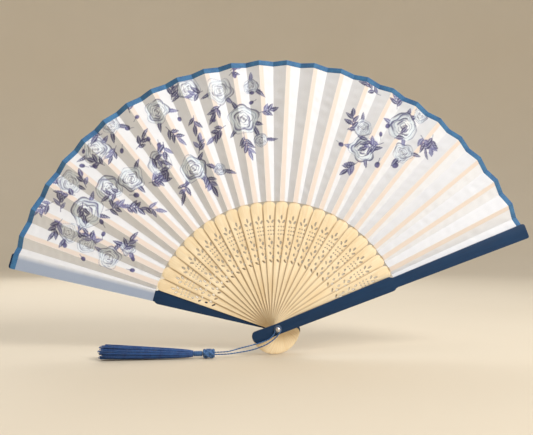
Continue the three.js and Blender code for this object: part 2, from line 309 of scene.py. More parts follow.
def coordinates(obj: bpy.types.Object) -> np.ndarray:
    """The mesh's points, in metres.

    Args:
        obj: the mesh object.

    Returns:
        One row for each vertex.
    """
    flat = np.empty(len(obj.data.vertices) * 3)
    obj.data.vertices.foreach_get("co", flat)
    return flat.reshape(-1, 3)


def set_coordinates(obj: bpy.types.Object, points: np.ndarray) -> None:
    """Moves the mesh's points, given in metres."""
    obj.data.vertices.foreach_set("co", np.asarray(points, float).ravel())
    obj.data.update()


def set_uv(obj: bpy.types.Object, uv: np.ndarray) -> None:
    """Gives the mesh one UV map from a value for each vertex.

    Args:
        obj: the mesh object.
        uv: a place on the map for each vertex.
    """
    mesh = obj.data
    layer = mesh.uv_layers.active or mesh.uv_layers.new(name="surface")
    layer.name = "surface"
    corner = np.empty(len(mesh.loops), int)
    mesh.loops.foreach_get("vertex_index", corner)
    layer.data.foreach_set("uv", uv[corner].astype(np.float32).ravel())


def set_field(obj: bpy.types.Object, name: str, values: np.ndarray) -> None:
    """Stores one number, or one colour with its amount, for each vertex.

    Args:
        obj: the mesh object.
        name: the attribute's name.
        values: a row or number for each vertex.
    """
    kind, key = ("FLOAT", "value") if values.ndim == 1 else ("FLOAT_COLOR", "color")
    attribute = obj.data.attributes.new(name, kind, "POINT")
    attribute.data.foreach_set(key, values.astype(np.float32).ravel())


def sheet_grid(name: str, points: np.ndarray, uv: np.ndarray) -> bpy.types.Object:
    """A sheet from rows of points.

    Args:
        name: the piece's name.
        points: rows x columns x 3, in metres.
        uv: rows x columns x 2.

    Returns:
        The sheet, with the UV map and faces towards the side that rows x columns turn to.
    """
    rows, columns = points.shape[:2]
    bpy.ops.object.select_all(action="DESELECT")
    bpy.ops.mesh.primitive_grid_add(x_subdivisions=columns - 1, y_subdivisions=rows - 1, size=1)
    obj = new_piece(name)
    set_coordinates(obj, points.reshape(-1, 3))
    set_uv(obj, uv.reshape(-1, 2))
    return obj


def tube(
    name: str,
    path: np.ndarray,
    outline: np.ndarray,
) -> bpy.types.Object:
    """A closed tube along a path.

    Args:
        name: the piece's name.
        path: points in metres.
        outline: for each point of the path, the radius at each side, in metres.

    Returns:
        The tube, whose UV map runs around it and along it.
    """
    rings, sides = outline.shape
    tangent = np.gradient(path, axis=0)
    tangent /= np.linalg.norm(tangent, axis=1)[:, None]
    across = np.cross(tangent[0], (0.31, 0.87, 0.38))
    turn = np.linspace(0, 2 * math.pi, sides, endpoint=False)
    points = np.empty((rings, sides, 3))
    for i in range(rings):
        across = across - tangent[i] * (across @ tangent[i])
        across /= np.linalg.norm(across)
        other = np.cross(tangent[i], across)
        spoke = np.outer(np.cos(turn), across) + np.outer(np.sin(turn), other)
        points[i] = path[i] + spoke * outline[i][:, None]
    run = np.concatenate([[0], np.cumsum(np.linalg.norm(np.diff(path, axis=0), axis=1))])
    quads = [
        (i * sides + j, i * sides + (j + 1) % sides, (i + 1) * sides + (j + 1) % sides, (i + 1) * sides + j)
        for i in range(rings - 1)
        for j in range(sides)
    ]
    caps = [tuple(range(sides))[::-1], tuple(range((rings - 1) * sides, rings * sides))]
    mesh = bpy.data.meshes.new(name)
    mesh.from_pydata(points.reshape(-1, 3).tolist(), [], quads + caps)
    obj = bpy.data.objects.new(name, mesh)
    bpy.context.collection.objects.link(obj)
    around = np.tile(turn / (2 * math.pi), rings)
    set_uv(obj, np.stack([around, np.repeat(run, sides)], axis=1))
    return obj


def joined(name: str, parts: Sequence[bpy.types.Object]) -> bpy.types.Object:
    """Several objects as one piece.

    Args:
        name: the name of the joined object.
        parts: the objects, which end up as one.

    Returns:
        The joined object.
    """
    bpy.ops.object.select_all(action="DESELECT")
    for part in parts:
        part.select_set(True)
    bpy.context.view_layer.objects.active = parts[0]
    bpy.ops.object.join()
    parts[0].name = name
    parts[0].data.name = name
    return parts[0]


def stacked(name: str, rings: Sequence[tuple[float, float]], sides: int) -> bpy.types.Object:
    """A round piece about the Z axis, extruded ring by ring.

    Args:
        name: the piece's name.
        rings: height and radius of each ring in mm, from the bottom.
        sides: points around it.

    Returns:
        The closed piece.
    """
    height, radius = rings[0]
    bpy.ops.object.select_all(action="DESELECT")
    bpy.ops.mesh.primitive_circle_add(
        vertices=sides, radius=radius * MM, fill_type="NGON", location=(0, 0, height * MM)
    )
    obj = new_piece(name)
    settle(obj)
    with editing(obj, "FACE"):
        bpy.ops.mesh.select_all(action="SELECT")
        for upper, wide in rings[1:]:
            bpy.ops.mesh.extrude_region_move(
                TRANSFORM_OT_translate={"value": (0, 0, (upper - height) * MM)}
            )
            bpy.ops.transform.resize(
                value=(wide / radius, wide / radius, 1), center_override=(0, 0, upper * MM)
            )
            height, radius = upper, wide
    face_out(obj)
    return obj


def blade(
    name: str, sections: Sequence[tuple[float, float]], front: float, rear: float
) -> bpy.types.Object:
    """A flat blade that stands along +Z, drawn out section by section and then thickened.

    Args:
        name: the piece's name.
        sections: height and half width of each section in mm, from the bottom.
        front: depth of the front face.
        rear: depth of the rear face.

    Returns:
        The closed blade.
    """
    (low, half), (high, next_half) = sections[:2]
    bpy.ops.object.select_all(action="DESELECT")
    bpy.ops.mesh.primitive_plane_add(
        size=1, location=(0, front * MM, (low + high) / 2 * MM), rotation=(math.pi / 2, 0, 0)
    )
    obj = new_piece(name)
    obj.scale = (2 * half * MM, (high - low) * MM, 1)
    settle(obj)
    height, width = high, half
    with editing(obj, "EDGE"):
        choose(obj, lambda p: p[:, 2] > (low + high) / 2 * MM)
        bpy.ops.transform.resize(
            value=(next_half / half, 1, 1), center_override=(0, front * MM, high * MM)
        )
        width = next_half
        for upper, wide in sections[2:]:
            bpy.ops.mesh.extrude_edges_move(
                TRANSFORM_OT_translate={"value": (0, 0, (upper - height) * MM)}
            )
            bpy.ops.transform.resize(
                value=(wide / width, 1, 1), center_override=(0, front * MM, upper * MM)
            )
            height, width = upper, wide
        bpy.ops.mesh.select_all(action="SELECT")
        bpy.ops.mesh.extrude_region_move(
            TRANSFORM_OT_translate={"value": (0, (rear - front) * MM, 0)}
        )
    face_out(obj)
    return obj


def choose(obj: bpy.types.Object, test: Callable[[np.ndarray], np.ndarray]) -> None:
    """In edit mode, selects the vertices whose places pass a test, with the edges between them.

    Args:
        obj: the object that is being edited.
        test: takes all places and says which of them are wanted.
    """
    bpy.ops.object.mode_set(mode="OBJECT")
    mask = test(coordinates(obj))
    mesh = obj.data
    mesh.vertices.foreach_set("select", mask)
    ends = np.empty(len(mesh.edges) * 2, int)
    mesh.edges.foreach_get("vertices", ends)
    mesh.edges.foreach_set("select", mask[ends.reshape(-1, 2)].all(axis=1))
    mesh.polygons.foreach_set("select", [bool(mask[list(p.vertices)].all()) for p in mesh.polygons])
    bpy.ops.object.mode_set(mode="EDIT")


def cut(obj: bpy.types.Object, cutter: bpy.types.Object) -> None:
    """Cuts one object out of another and removes the cutter."""
    finish_with(obj, "BOOLEAN", object=cutter, operation="DIFFERENCE", solver="EXACT")
    bpy.data.objects.remove(cutter)


def peg(radius: float, deep: float, place: Point = (0, 0, 0), stretch: tuple[float, float] = (1, 1),
        tilt: float = 0, sides: int = 24) -> bpy.types.Object:
    """A round or oval peg along Y, for cutting holes.

    Args:
        radius: its radius in mm.
        deep: its length.
        place: its middle.
        stretch: factors of the radius across and along the blade.
        tilt: its turn, counter-clockwise from the front, in degrees.
        sides: points around it.

    Returns:
        The peg.
    """
    bpy.ops.object.select_all(action="DESELECT")
    bpy.ops.mesh.primitive_cylinder_add(
        vertices=sides, radius=radius * MM, depth=deep * MM,
        location=Vector(place) * MM, rotation=(math.pi / 2, -math.radians(tilt), 0),
    )
    obj = new_piece("cutter")
    obj.scale = (stretch[0], stretch[1], 1)
    settle(obj)
    return obj


def catmull(points: np.ndarray, spacing: float) -> np.ndarray:
    """A smooth path through points, evenly spaced.

    Args:
        points: the points, in metres.
        spacing: distance between the path's points.

    Returns:
        The path's points, with both ends kept.
    """
    whole = np.vstack([2 * points[0] - points[1], points, 2 * points[-1] - points[-2]])
    fine = [points[0]]
    for i in range(1, len(whole) - 2):
        four = whole[i - 1 : i + 3]
        knots = np.concatenate([[0], np.cumsum(np.linalg.norm(np.diff(four, axis=0), axis=1) ** 0.5)])
        for t in np.linspace(knots[1], knots[2], 24)[1:]:
            level = [
                [
                    four[j] * (knots[j + 1] - t) / (knots[j + 1] - knots[j])
                    + four[j + 1] * (t - knots[j]) / (knots[j + 1] - knots[j])
                ][0]
                for j in range(3)
            ]
            second = [
                level[j] * (knots[j + 2] - t) / (knots[j + 2] - knots[j])
                + level[j + 1] * (t - knots[j]) / (knots[j + 2] - knots[j])
                for j in range(2)
            ]
            fine.append(
                second[0] * (knots[2] - t) / (knots[2] - knots[1])
                + second[1] * (t - knots[1]) / (knots[2] - knots[1])
            )
    fine = np.array(fine)
    run = np.concatenate([[0], np.cumsum(np.linalg.norm(np.diff(fine, axis=0), axis=1))])
    even = np.linspace(0, run[-1], max(2, round(run[-1] / spacing) + 1))
    return np.stack([np.interp(even, run, fine[:, k]) for k in range(3)], axis=1)


def length_of(path: np.ndarray) -> float:
    """Length of a path."""
    return float(np.linalg.norm(np.diff(path, axis=0), axis=1).sum())


# ---------------------------------------------------------------- shading


class Value:
    """A number, colour or vector that varies over a surface."""

    def __init__(self, bench: "Bench", socket: bpy.types.NodeSocket) -> None:
        """Wraps an output socket of a material's bench."""
        self.bench = bench
        self.socket = socket

    def _maths(self, operation: str, first: object, second: object = None) -> "Value":
        """Adds a Math node."""
        given = {0: first} if second is None else {0: first, 1: second}
        return self.bench.node("ShaderNodeMath", {"operation": operation}, given)

    def __add__(self, other: object) -> "Value":
        """Sum."""
        return self._maths("ADD", self, other)

    __radd__ = __add__

    def __sub__(self, other: object) -> "Value":
        """Difference."""
        return self._maths("SUBTRACT", self, other)

    def __rsub__(self, other: object) -> "Value":
        """Reflected difference."""
        return self._maths("SUBTRACT", other, self)

    def __mul__(self, other: object) -> "Value":
        """Product."""
        return self._maths("MULTIPLY", self, other)

    __rmul__ = __mul__

    def wave(self) -> "Value":
        """Sine."""
        return self._maths("SINE", self)

    def kept(self) -> "Value":
        """The value kept between 0 and 1."""
        return self.bench.node("ShaderNodeClamp", {}, {0: self})

    def step(self, low: float, high: float) -> "Value":
        """A soft step from 0 at low to 1 at high."""
        settings = {"interpolation_type": "SMOOTHSTEP"}
        return self.bench.node("ShaderNodeMapRange", settings, {0: self, 1: low, 2: high})


def tint(red: float, green: float, blue: float) -> tuple[float, float, float, float]:
    """A screen colour of 0 to 255 as a linear colour.

    Args:
        red: the red channel.
        green: the green channel.
        blue: the blue channel.

    Returns:
        Red, green, blue and an alpha of 1.
    """
    def linear(value: float) -> float:
        """One channel as linear light."""
        share = value / 255
        return share / 12.92 if share <= 0.04045 else ((share + 0.055) / 1.055) ** 2.4
    return (linear(red), linear(green), linear(blue), 1.0)


class Bench:
    """Where one material is put together."""

    def __init__(self, name: str) -> None:
        """Starts a material with one Principled shader.

        Args:
            name: the material's name.
        """
        self.material = bpy.data.materials.new(name)
        self.material.use_nodes = True
        self.tree = self.material.node_tree
        self.shader = next(n for n in self.tree.nodes if n.type == "BSDF_PRINCIPLED")

    def node(self, kind: str, settings: dict, sockets: dict, output: int | str = 0) -> Value:
        """Adds a node.

        Args:
            kind: the node's type.
            settings: its properties, set first; a ramp's stops go under "stops".
            sockets: values or links of its sockets, by name or number.
            output: the output that is wanted.

        Returns:
            That output.
        """
        made = self.tree.nodes.new(kind)
        for key, value in settings.items():
            if key == "stops":
                ramp = made.color_ramp
                for i, (place, colour) in enumerate(value):
                    stop = ramp.elements[i] if i < 2 else ramp.elements.new(place)
                    stop.position, stop.color = place, colour
            else:
                setattr(made, key, value)
        for key, value in sockets.items():
            self.join(made.inputs[key], value)
        return Value(self, made.outputs[output])

    def join(self, socket: bpy.types.NodeSocket, value: object) -> None:
        """Sets a socket to a value or links it.

        Args:
            socket: the input socket.
            value: a constant, or a value that varies.
        """
        if isinstance(value, Value):
            self.tree.links.new(value.socket, socket)
        else:
            socket.default_value = value

    def place(self) -> Value:
        """The place on the object."""
        return self.node("ShaderNodeTexCoord", {}, {}, "Object")

    def surface(self) -> Value:
        """The piece's own UV map."""
        return self.node("ShaderNodeUVMap", {"uv_map": "surface"}, {})

    def stored(self, name: str, output: str = "Fac") -> Value:
        """A stored attribute."""
        return self.node("ShaderNodeAttribute", {"attribute_name": name}, {}, output)

    def scaled(self, vector: Value, size: tuple[float, float, float]) -> Value:
        """A vector with its axes scaled."""
        return self.node("ShaderNodeMapping", {}, {"Vector": vector, "Scale": size})

    def noise(self, vector: Value, scale: float, detail: float = 3, rough: float = 0.55) -> Value:
        """Soft noise between 0 and 1."""
        sockets = {"Vector": vector, "Scale": scale, "Detail": detail, "Roughness": rough}
        return self.node("ShaderNodeTexNoise", {}, sockets)

    def part(self, vector: Value, axis: str) -> Value:
        """One component of a vector."""
        return self.node("ShaderNodeSeparateXYZ", {}, {0: vector}, axis)

    def mix(self, share: object, first: object, second: object) -> Value:
        """A mix of two colours."""
        settings = {"data_type": "RGBA"}
        return self.node("ShaderNodeMix", settings, {0: share, 6: first, 7: second}, 2)

    def bump(self, height: Value, distance: float, strength: float = 1.0) -> Value:
        """A bumped normal; the distance is in mm."""
        sockets = {"Height": height, "Distance": distance * MM, "Strength": strength}
        return self.node("ShaderNodeBump", {}, sockets)

    def finish(self, **sockets: object) -> bpy.types.Material:
        """Sets the shader's sockets, named with underscores, and hands over the material.

        Args:
            sockets: constants or values, by socket.

        Returns:
            The material.
        """
        for key, value in sockets.items():
            self.join(self.shader.inputs[key.replace("_", " ")], value)
        return self.material


@dataclass(frozen=True)
class BambooFinish:
    """Pale split bamboo, sanded, with long fibres, with painted shadow where the next rib overlaps and
    painted shade on the walls of the piercings.
    """

    pale: tuple = tint(255, 241, 211)
    deep: tuple = tint(238, 210, 162)
    # Dark brown for painted shade on the walls of the piercings; the outer edges and bevels get a little of
    # it.
    edge: tuple = tint(84, 52, 26)
    # Colour of the painted shadow that the next rib casts beside the edge where it overlaps this one.
    overlap_shadow: tuple = tint(150, 104, 56)
    # The next rib's turn in degrees, half width in mm and taper place its edge; the last is the width in mm
    # over which the painted shadow fades.
    step: float = 6.04
    waist: float = 3.5
    taper: float = 0.0118
    rub_and_shade: float = 1.5

    def material(self) -> bpy.types.Material:
        """Makes the bamboo.

        Returns:
            The material.
        """
        b = Bench("bamboo")
        uv = b.surface()
        own = b.node("ShaderNodeCombineXYZ", {}, {0: b.stored("rib"), 1: b.stored("rib") * 0.31})
        grown = b.node("ShaderNodeVectorMath", {"operation": "ADD"}, {0: uv, 1: own})
        fibre = b.noise(b.scaled(grown, (1.0, 0.035, 1.0)), 1900, 4, 0.6)
        streak = b.noise(b.scaled(grown, (1.0, 0.05, 1.0)), 420, 2)
        cloud = b.noise(b.place(), 38, 2)
        tone = (fibre * 0.45 + streak * 0.45 + cloud * 0.35 - 0.12).step(0.2, 0.85)
        colour = b.mix(tone, self.pale, self.deep)
        x, z = b.part(uv, "X"), b.part(uv, "Y")
        pitch = math.radians(self.step)
        # Painted shadow of the next rib, which overlaps this one: brown under its edge, fading out over a
        # narrow band beside it, from just above the rivet to just below the head.
        beyond = z * math.sin(pitch) - x * math.cos(pitch) - z * self.taper - self.waist * MM
        overlap_shadow = 1 - beyond.step(-0.0002, self.rub_and_shade * MM)
        between = z.step(0.004, 0.02) * (1 - z.step(0.080, 0.088))
        colour = b.mix(overlap_shadow * between * (0.42 + streak * 0.2), colour, self.overlap_shadow)
        # Painted shade in the holes: dark brown on the walls of the piercings, and slightly darker outer
        # edges and bevels.
        colour = b.mix(b.stored("rim"), colour, self.edge)
        return b.finish(
            Base_Color=colour,
            Roughness=0.42 + fibre * 0.22,
            Normal=b.bump(fibre * 0.7 + streak * 0.3, 0.05, 0.5),
        )


@dataclass(frozen=True)
class LacquerFinish:
    """Dark blue paint on bamboo, with the wood's grain under it and worn edges."""

    body: tuple = tint(8, 54, 94)
    deep: tuple = tint(5, 39, 72)
    worn: tuple = tint(92, 120, 156)

    def material(self) -> bpy.types.Material:
        """Makes the paint.

        Returns:
            The material.
        """
        b = Bench("guard_lacquer")
        uv = b.surface()
        grain = b.noise(b.scaled(uv, (1.0, 0.03, 1.0)), 1500, 4, 0.6)
        cloud = b.noise(b.place(), 45, 3)
        rub_and_shade = b.noise(b.place(), 420, 3)
        colour = b.mix((grain * 0.6 + cloud * 0.5 - 0.05).step(0.25, 0.85), self.body, self.deep)
        wear = (b.stored("rim") + rub_and_shade * 0.8 - 0.3).step(0.45, 0.75)
        colour = b.mix(wear * 0.5, colour, self.worn)
        return b.finish(
            Base_Color=colour,
            Roughness=0.34 + cloud * 0.14 + grain * 0.08,
            Specular_IOR_Level=0.3,
            Coat_Weight=0.04,
            Coat_Roughness=0.25,
            Normal=b.bump(grain * 0.6 + rub_and_shade * 0.2, 0.05, 0.45),
        )


@dataclass(frozen=True)
class SilkFinish:
    """Thin white silk on paper, printed in blue, with the slips and a guard showing through."""

    white: tuple = tint(231, 234, 241)
    shade: tuple = tint(218, 222, 232)
    strip: tuple = tint(232, 208, 186)
    guard: tuple = tint(150, 168, 198)

    def material(self) -> bpy.types.Material:
        """Makes the silk.

        Returns:
            The material.
        """
        b = Bench("printed_silk")
        uv = b.surface()
        cloud = b.noise(uv, 60, 3)
        slub = b.noise(b.scaled(uv, (1.0, 0.12, 1.0)), 900, 2)
        across = (b.part(uv, "X") * 9000).wave()
        along = (b.part(uv, "Y") * 9000).wave()
        weave = across * along
        base = b.mix((cloud * 0.5 + slub * 0.35).step(0.35, 0.95), self.white, self.shade)
        base = b.mix(b.stored("slip") * (0.45 + slub * 0.25), base, self.strip)
        base = b.mix(b.stored("backed") * (0.82 + cloud * 0.06), base, self.guard)
        ink = b.stored("print", "Color")
        amount = b.stored("print", "Alpha") * (0.86 + slub * 0.2)
        colour = b.mix(amount.kept(), base, ink)
        return b.finish(
            Base_Color=colour,
            Roughness=0.5 + slub * 0.15,
            Sheen_Weight=0.25,
            Sheen_Roughness=0.4,
            Specular_IOR_Level=0.35,
            Normal=b.bump(weave * 0.3 + slub * 0.5 + cloud * 0.25, 0.09, 0.5),
        )


@dataclass(frozen=True)
class RibbonFinish:
    """The woven tape that binds the leaf's edge."""

    light: tuple = tint(62, 128, 178)
    dark: tuple = tint(30, 84, 136)

    def material(self) -> bpy.types.Material:
        """Makes the tape.

        Returns:
            The material.
        """
        b = Bench("binding_tape")
        uv = b.surface()
        thread = b.noise(b.scaled(uv, (1.0, 0.2, 1.0)), 2600, 2)
        cloud = b.noise(uv, 130, 3)
        ribbing = (b.part(uv, "X") * 12500).wave()
        colour = b.mix((thread * 0.5 + cloud * 0.75 - 0.1).step(0.2, 0.85), self.light, self.dark)
        return b.finish(
            Base_Color=colour,
            Roughness=0.55 + thread * 0.2,
            Sheen_Weight=0.3,
            Normal=b.bump(ribbing * 0.5 + thread, 0.06, 0.6),
        )


@dataclass(frozen=True)
class MetalFinish:
    """Polished or dull steel."""

    name: str
    light: tuple
    dark: tuple
    rough: float

    def material(self) -> bpy.types.Material:
        """Makes the metal.

        Returns:
            The material.
        """
        b = Bench(self.name)
        place = b.place()
        smear = b.noise(place, 900, 3)
        scratch = b.noise(b.scaled(place, (1.0, 1.0, 0.15)), 3200, 2)
        return b.finish(
            Base_Color=b.mix(smear.step(0.35, 0.8), self.light, self.dark),
            Metallic=0.95,
            Roughness=self.rough + smear * 0.16 + scratch * 0.06,
            Normal=b.bump(scratch, 0.02, 0.35),
        )


@dataclass(frozen=True)
class ThreadFinish:
    """Twisted or combed silk thread, dyed blue."""

    name: str
    light: tuple
    dark: tuple
    twist: float = 0.0

    def material(self) -> bpy.types.Material:
        """Makes the thread.

        Returns:
            The material.
        """
        b = Bench(self.name)
        uv = b.surface()
        fibre = b.noise(b.scaled(uv, (5.0, 900.0, 1.0)), 1.0, 3)
        cloud = b.noise(b.place(), 260, 3)
        turn = (b.part(uv, "X") * (12 * math.pi) + b.part(uv, "Y") * self.twist).wave()
        tone = (fibre * 0.5 + cloud * 0.6 + turn * 0.12 - 0.05).step(0.2, 0.85)
        return b.finish(
            Base_Color=b.mix(tone, self.light, self.dark),
            Roughness=0.45 + fibre * 0.2,
            Sheen_Weight=0.35,
            Sheen_Roughness=0.35,
            Normal=b.bump(turn * 0.5 + fibre * 0.5, 0.07, 0.6),
        )


@dataclass(frozen=True)
class FloorFinish:
    """A pale matt floor."""

    light: tuple = tint(226, 214, 194)
    dark: tuple = tint(219, 206, 184)

    def material(self) -> bpy.types.Material:
        """Makes the floor's finish.

        Returns:
            The material.
        """
        b = Bench("pale_floor")
        cloud = b.noise(b.place(), 3, 4)
        return b.finish(Base_Color=b.mix(cloud, self.light, self.dark), Roughness=0.75 + cloud * 0.1)


def dress(obj: bpy.types.Object, material: bpy.types.Material) -> None:
    """Gives a piece its material.

    Args:
        obj: the piece.
        material: its material.
    """
    obj.data.materials.clear()
    obj.data.materials.append(material)


# ---------------------------------------------------------------- blades


@dataclass(frozen=True)
class Piercing:
    """A hole through a rib: mm below the head's top, mm to its left, size, and tilt in degrees."""

    down: float
    aside: float
    wide: float
    high: float
    tilt: float = 0.0


TULIP = (
    Piercing(11.0, 0.0, 1.0, 2.9),
    Piercing(13.9, 1.7, 1.05, 2.5, 34),
    Piercing(13.9, -1.7, 1.05, 2.5, -34),
)
DOTS = tuple(Piercing(down, aside, 0.74, 0.84) for down in (17.6, 20.3, 23.0) for aside in (1.78, 0.0, -1.78))
UPPER_SPRIG = (
    Piercing(26.2, 1.35, 1.0, 1.9, 12),
    Piercing(28.9, -0.2, 1.25, 2.3, -8),
    Piercing(31.6, 1.55, 0.8, 2.3, 40),
    Piercing(32.4, -1.5, 0.8, 2.4, -36),
)
LOWER_SPRIG = (
    Piercing(36.4, 1.2, 1.0, 1.9, 10),
    Piercing(39.1, -0.5, 1.25, 2.2, -10),
    Piercing(41.9, 1.2, 0.85, 2.6, 42),
    Piercing(42.8, -1.5, 0.8, 2.0, -34),
)


def mark_rims(obj: bpy.types.Object, holes: tuple[float, float], half: float) -> None:
    """Stores a mark for each face: 1 on the walls of piercings, 0.2 on other steep faces such as outer edges
    and bevels. The bamboo uses it for painted shade in the holes and slightly darker edges, the guards' paint
    for wear on its edges.

    Args:
        obj: the blade, standing along +Z.
        holes: lowest and highest place of the piercings, in mm.
        half: how far beside the middle they reach.
    """
    mesh = obj.data
    marks = []
    for face in mesh.polygons:
        place = face.center / MM
        pierced = holes[0] < place.z < holes[1] and abs(place.x) < half
        steep = abs(face.normal.y) < 0.97
        marks += [(1.0 if pierced else 0.2) if steep else 0.0] * face.loop_total
    attribute = mesh.attributes.new("rim", "FLOAT", "CORNER")
    attribute.data.foreach_set("value", marks)


@dataclass
class Ribs:
    """Twenty-three pierced ribs, each with the slip that carries the leaf."""

    lay: Layout
    head_half: float = 4.5
    waist_half: float = 3.5
    butt_half: float = 3.8
    butt_round: float = 3.2
    head_round: float = 3.4
    bevel: float = 0.14
    slip_run: float = 9.0
    pieces: list[bpy.types.Object] = field(default_factory=list)

    def sections(self) -> list[tuple[float, float]]:
        """The rib's outline from butt to the slip's end: height and half width.

        Returns:
            Height and half width of each ring, in mm.
        """
        lay = self.lay
        butt = [
            (self.butt_round * (1 - math.cos(t)) - lay.butt_reach, self.butt_half * math.sin(t))
            for t in np.radians([9, 24, 40, 56, 72, 90])
        ]
        straight = [(0.0, self.waist_half)] + [
            (z, self.waist_half + (self.head_half - self.waist_half) * z / (lay.head_reach - self.head_round))
            for z in (30.0, 60.0, lay.head_reach - self.head_round)
        ]
        head = [
            (
                lay.head_reach - self.head_round * (1 - math.sin(t)),
                lay.slip_half + (self.head_half - lay.slip_half) * math.cos(t),
            )
            for t in np.radians([20, 40, 58, 74, 90])
        ]
        slip_long = lay.slip_reach - lay.head_reach
        slip = [
            (z, lay.slip_half + (lay.slip_tip_half - lay.slip_half) * (z - lay.head_reach) / slip_long)
            for z in np.linspace(lay.head_reach + 1.5, lay.slip_reach, 26)
        ]
        return butt + straight + head + slip

    def cutters(self) -> bpy.types.Object:
        """All the piercings, and the rivet's hole, as one cutter.

        Returns:
            The cutter.
        """
        lay = self.lay
        pegs = [peg(lay.pin_hole, 4)]
        for hole in TULIP + DOTS + UPPER_SPRIG + LOWER_SPRIG:
            place = (-hole.aside, 0, lay.head_reach - hole.down)
            pegs.append(peg(0.5, 4, place, (hole.wide, hole.high), hole.tilt, 12))
        return joined("cutter", pegs)

    def seat_slip(self, obj: bpy.types.Object) -> None:
        """Thins the slip and twists it into the leaf's slope, so that the silk lies on it.

        Args:
            obj: the rib, standing along +Z at depth 0.
        """
        lay = self.lay
        points = coordinates(obj) / MM
        inner = Pleat.at(lay, lay.leaf_inner, False)
        outer = Pleat.at(lay, lay.leaf_outer, True)
        share = np.clip((points[:, 2] - lay.leaf_inner) / (lay.leaf_outer - lay.leaf_inner), 0, 1)
        mountain = inner.mountain + (outer.mountain - inner.mountain) * share
        slope = inner.slope + (outer.slope - inner.slope) * share
        edge = inner.edge + (outer.edge - inner.edge) * share
        back = mountain + slope * (edge + points[:, 0]) + lay.silk_thick - lay.stand_off
        rear = points[:, 1] > 0
        seated = back + np.where(rear, lay.rib_thick - lay.slip_step, 0.04)
        turned = smooth(lay.head_reach - 0.5, lay.head_reach + self.slip_run, points[:, 2])
        thin = smooth(lay.head_reach, lay.head_reach + 1.4, points[:, 2])
        flat = np.where(rear, points[:, 1], points[:, 1] + lay.slip_step * thin)
        points[:, 1] = flat + (seated - flat) * turned
        set_coordinates(obj, points * MM)

    def pattern(self) -> bpy.types.Object:
        """The rib that the others are copied from, standing along +Z at depth 0.

        Returns:
            The rib, on no body yet.
        """
        half = self.lay.rib_thick / 2
        obj = blade("rib_pattern", self.sections(), -half, half)
        cut(obj, self.cutters())
        finish_with(
            obj, "BEVEL", width=self.bevel * MM, segments=2,
            limit_method="ANGLE", angle_limit=math.radians(40),
        )
        lay = self.lay
        mark_rims(obj, (lay.head_reach - 46, lay.head_reach - 8), 3.2)
        self.seat_slip(obj)
        return obj

    def build(self, finish: bpy.types.Material) -> None:
        """Makes the ribs and puts each on its body.

        Args:
            finish: the bamboo.
        """
        standard = self.pattern()
        points = coordinates(standard)
        for index in range(1, self.lay.ribs + 1):
            name = f"bamboo_rib_{index:02d}"
            obj = bpy.data.objects.new(name, standard.data.copy())
            obj.data.name = name
            bpy.context.collection.objects.link(obj)
            set_uv(obj, points[:, [0, 2]])
            set_field(obj, "rib", np.full(len(points), index * 0.013))
            obj.data.transform(self.lay.turn(index))
            obj.data.transform(Matrix.Translation((0, self.lay.depth(index) * MM, 0)))
            soften(obj)
            dress(obj, finish)
            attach(obj, self.lay.body(index))
            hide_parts(f"rib_{index:02d}")
            self.pieces.append(obj)
        bpy.data.objects.remove(standard)
        LOG.info("%d ribs, %d faces each", len(self.pieces), len(self.pieces[0].data.polygons))


@dataclass
class Guards:
    """The two lacquered outer blades."""

    lay: Layout
    butt_half: float = 4.1
    butt_round: float = 3.2
    waist_half: float = 3.6
    shoulder_half: float = 5.1
    shoulder_run: float = 3.4
    tip: float = 191.5
    tip_round: float = 1.6
    bevel: float = 0.42
    pieces: list[bpy.types.Object] = field(default_factory=list)

    def sections(self) -> list[tuple[float, float]]:
        """The guard's outline from butt to tip: height and half width.

        Returns:
            Height and half width of each ring, in mm.
        """
        lay = self.lay
        butt = [
            (self.butt_round * (1 - math.cos(t)) - lay.butt_reach, self.butt_half * math.sin(t))
            for t in np.radians([9, 24, 40, 56, 72, 90])
        ]
        shoulder = lay.head_reach - self.shoulder_run
        middle = [
            (0.0, self.waist_half),
            (shoulder / 2, (self.waist_half + self.shoulder_half) / 2),
            (shoulder - 1.0, self.shoulder_half),
            (shoulder + 0.6, self.shoulder_half - 0.08),
            (shoulder + 1.4, self.shoulder_half - 0.42),
            (lay.head_reach - 0.8, lay.guard_neck_half + 0.22),
            (lay.head_reach + 0.3, lay.guard_neck_half),
        ]
        corner = lay.guard_tip_half - self.tip_round
        end = [
            (self.tip - self.tip_round * (1 - math.sin(t)), corner + self.tip_round * math.cos(t))
            for t in np.radians([0, 22, 45, 68, 90])
        ]
        return butt + middle + end

    def build(self, finish: bpy.types.Material) -> None:
        """Makes both guards and puts each on its body.

        Args:
            finish: the paint.
        """
        lay = self.lay
        for index, front in ((0, lay.guard_inner), (lay.ribs + 1, -lay.guard_outer)):
            node = lay.body(index)
            rear = front + lay.guard_outer - lay.guard_inner
            obj = blade(f"lacquered_{node}", self.sections(), front, rear)
            cut(obj, peg(lay.pin_hole, 60))
            finish_with(
                obj, "BEVEL", width=self.bevel * MM, segments=3,
                limit_method="ANGLE", angle_limit=math.radians(40),
            )
            mark_rims(obj, (0, 0), 0)
            points = coordinates(obj)
            set_uv(obj, points[:, [0, 2]] + (0.4 * index, 0.0))
            obj.data.transform(lay.turn(index))
            soften(obj)
            dress(obj, finish)
            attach(obj, node)
            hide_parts(node)
            self.pieces.append(obj)
        LOG.info("%d guards", len(self.pieces))


# ---------------------------------------------------------------- leaf


class Ink(Enum):
    """The print's colours."""

    INDIGO = tint(74, 72, 128)
    DEEP = tint(46, 44, 98)
    SOFT = tint(112, 114, 168)
    SLATE = tint(92, 108, 156)
    PETAL = tint(222, 234, 244)
    CLEAR = tint(244, 248, 252)


@dataclass(frozen=True)
class Rose:
    """An open rose: its place in degrees and mm, radius, strength, and the seed of its petals."""

    angle: float
    reach: float
    radius: float
    strength: float
    seed: int


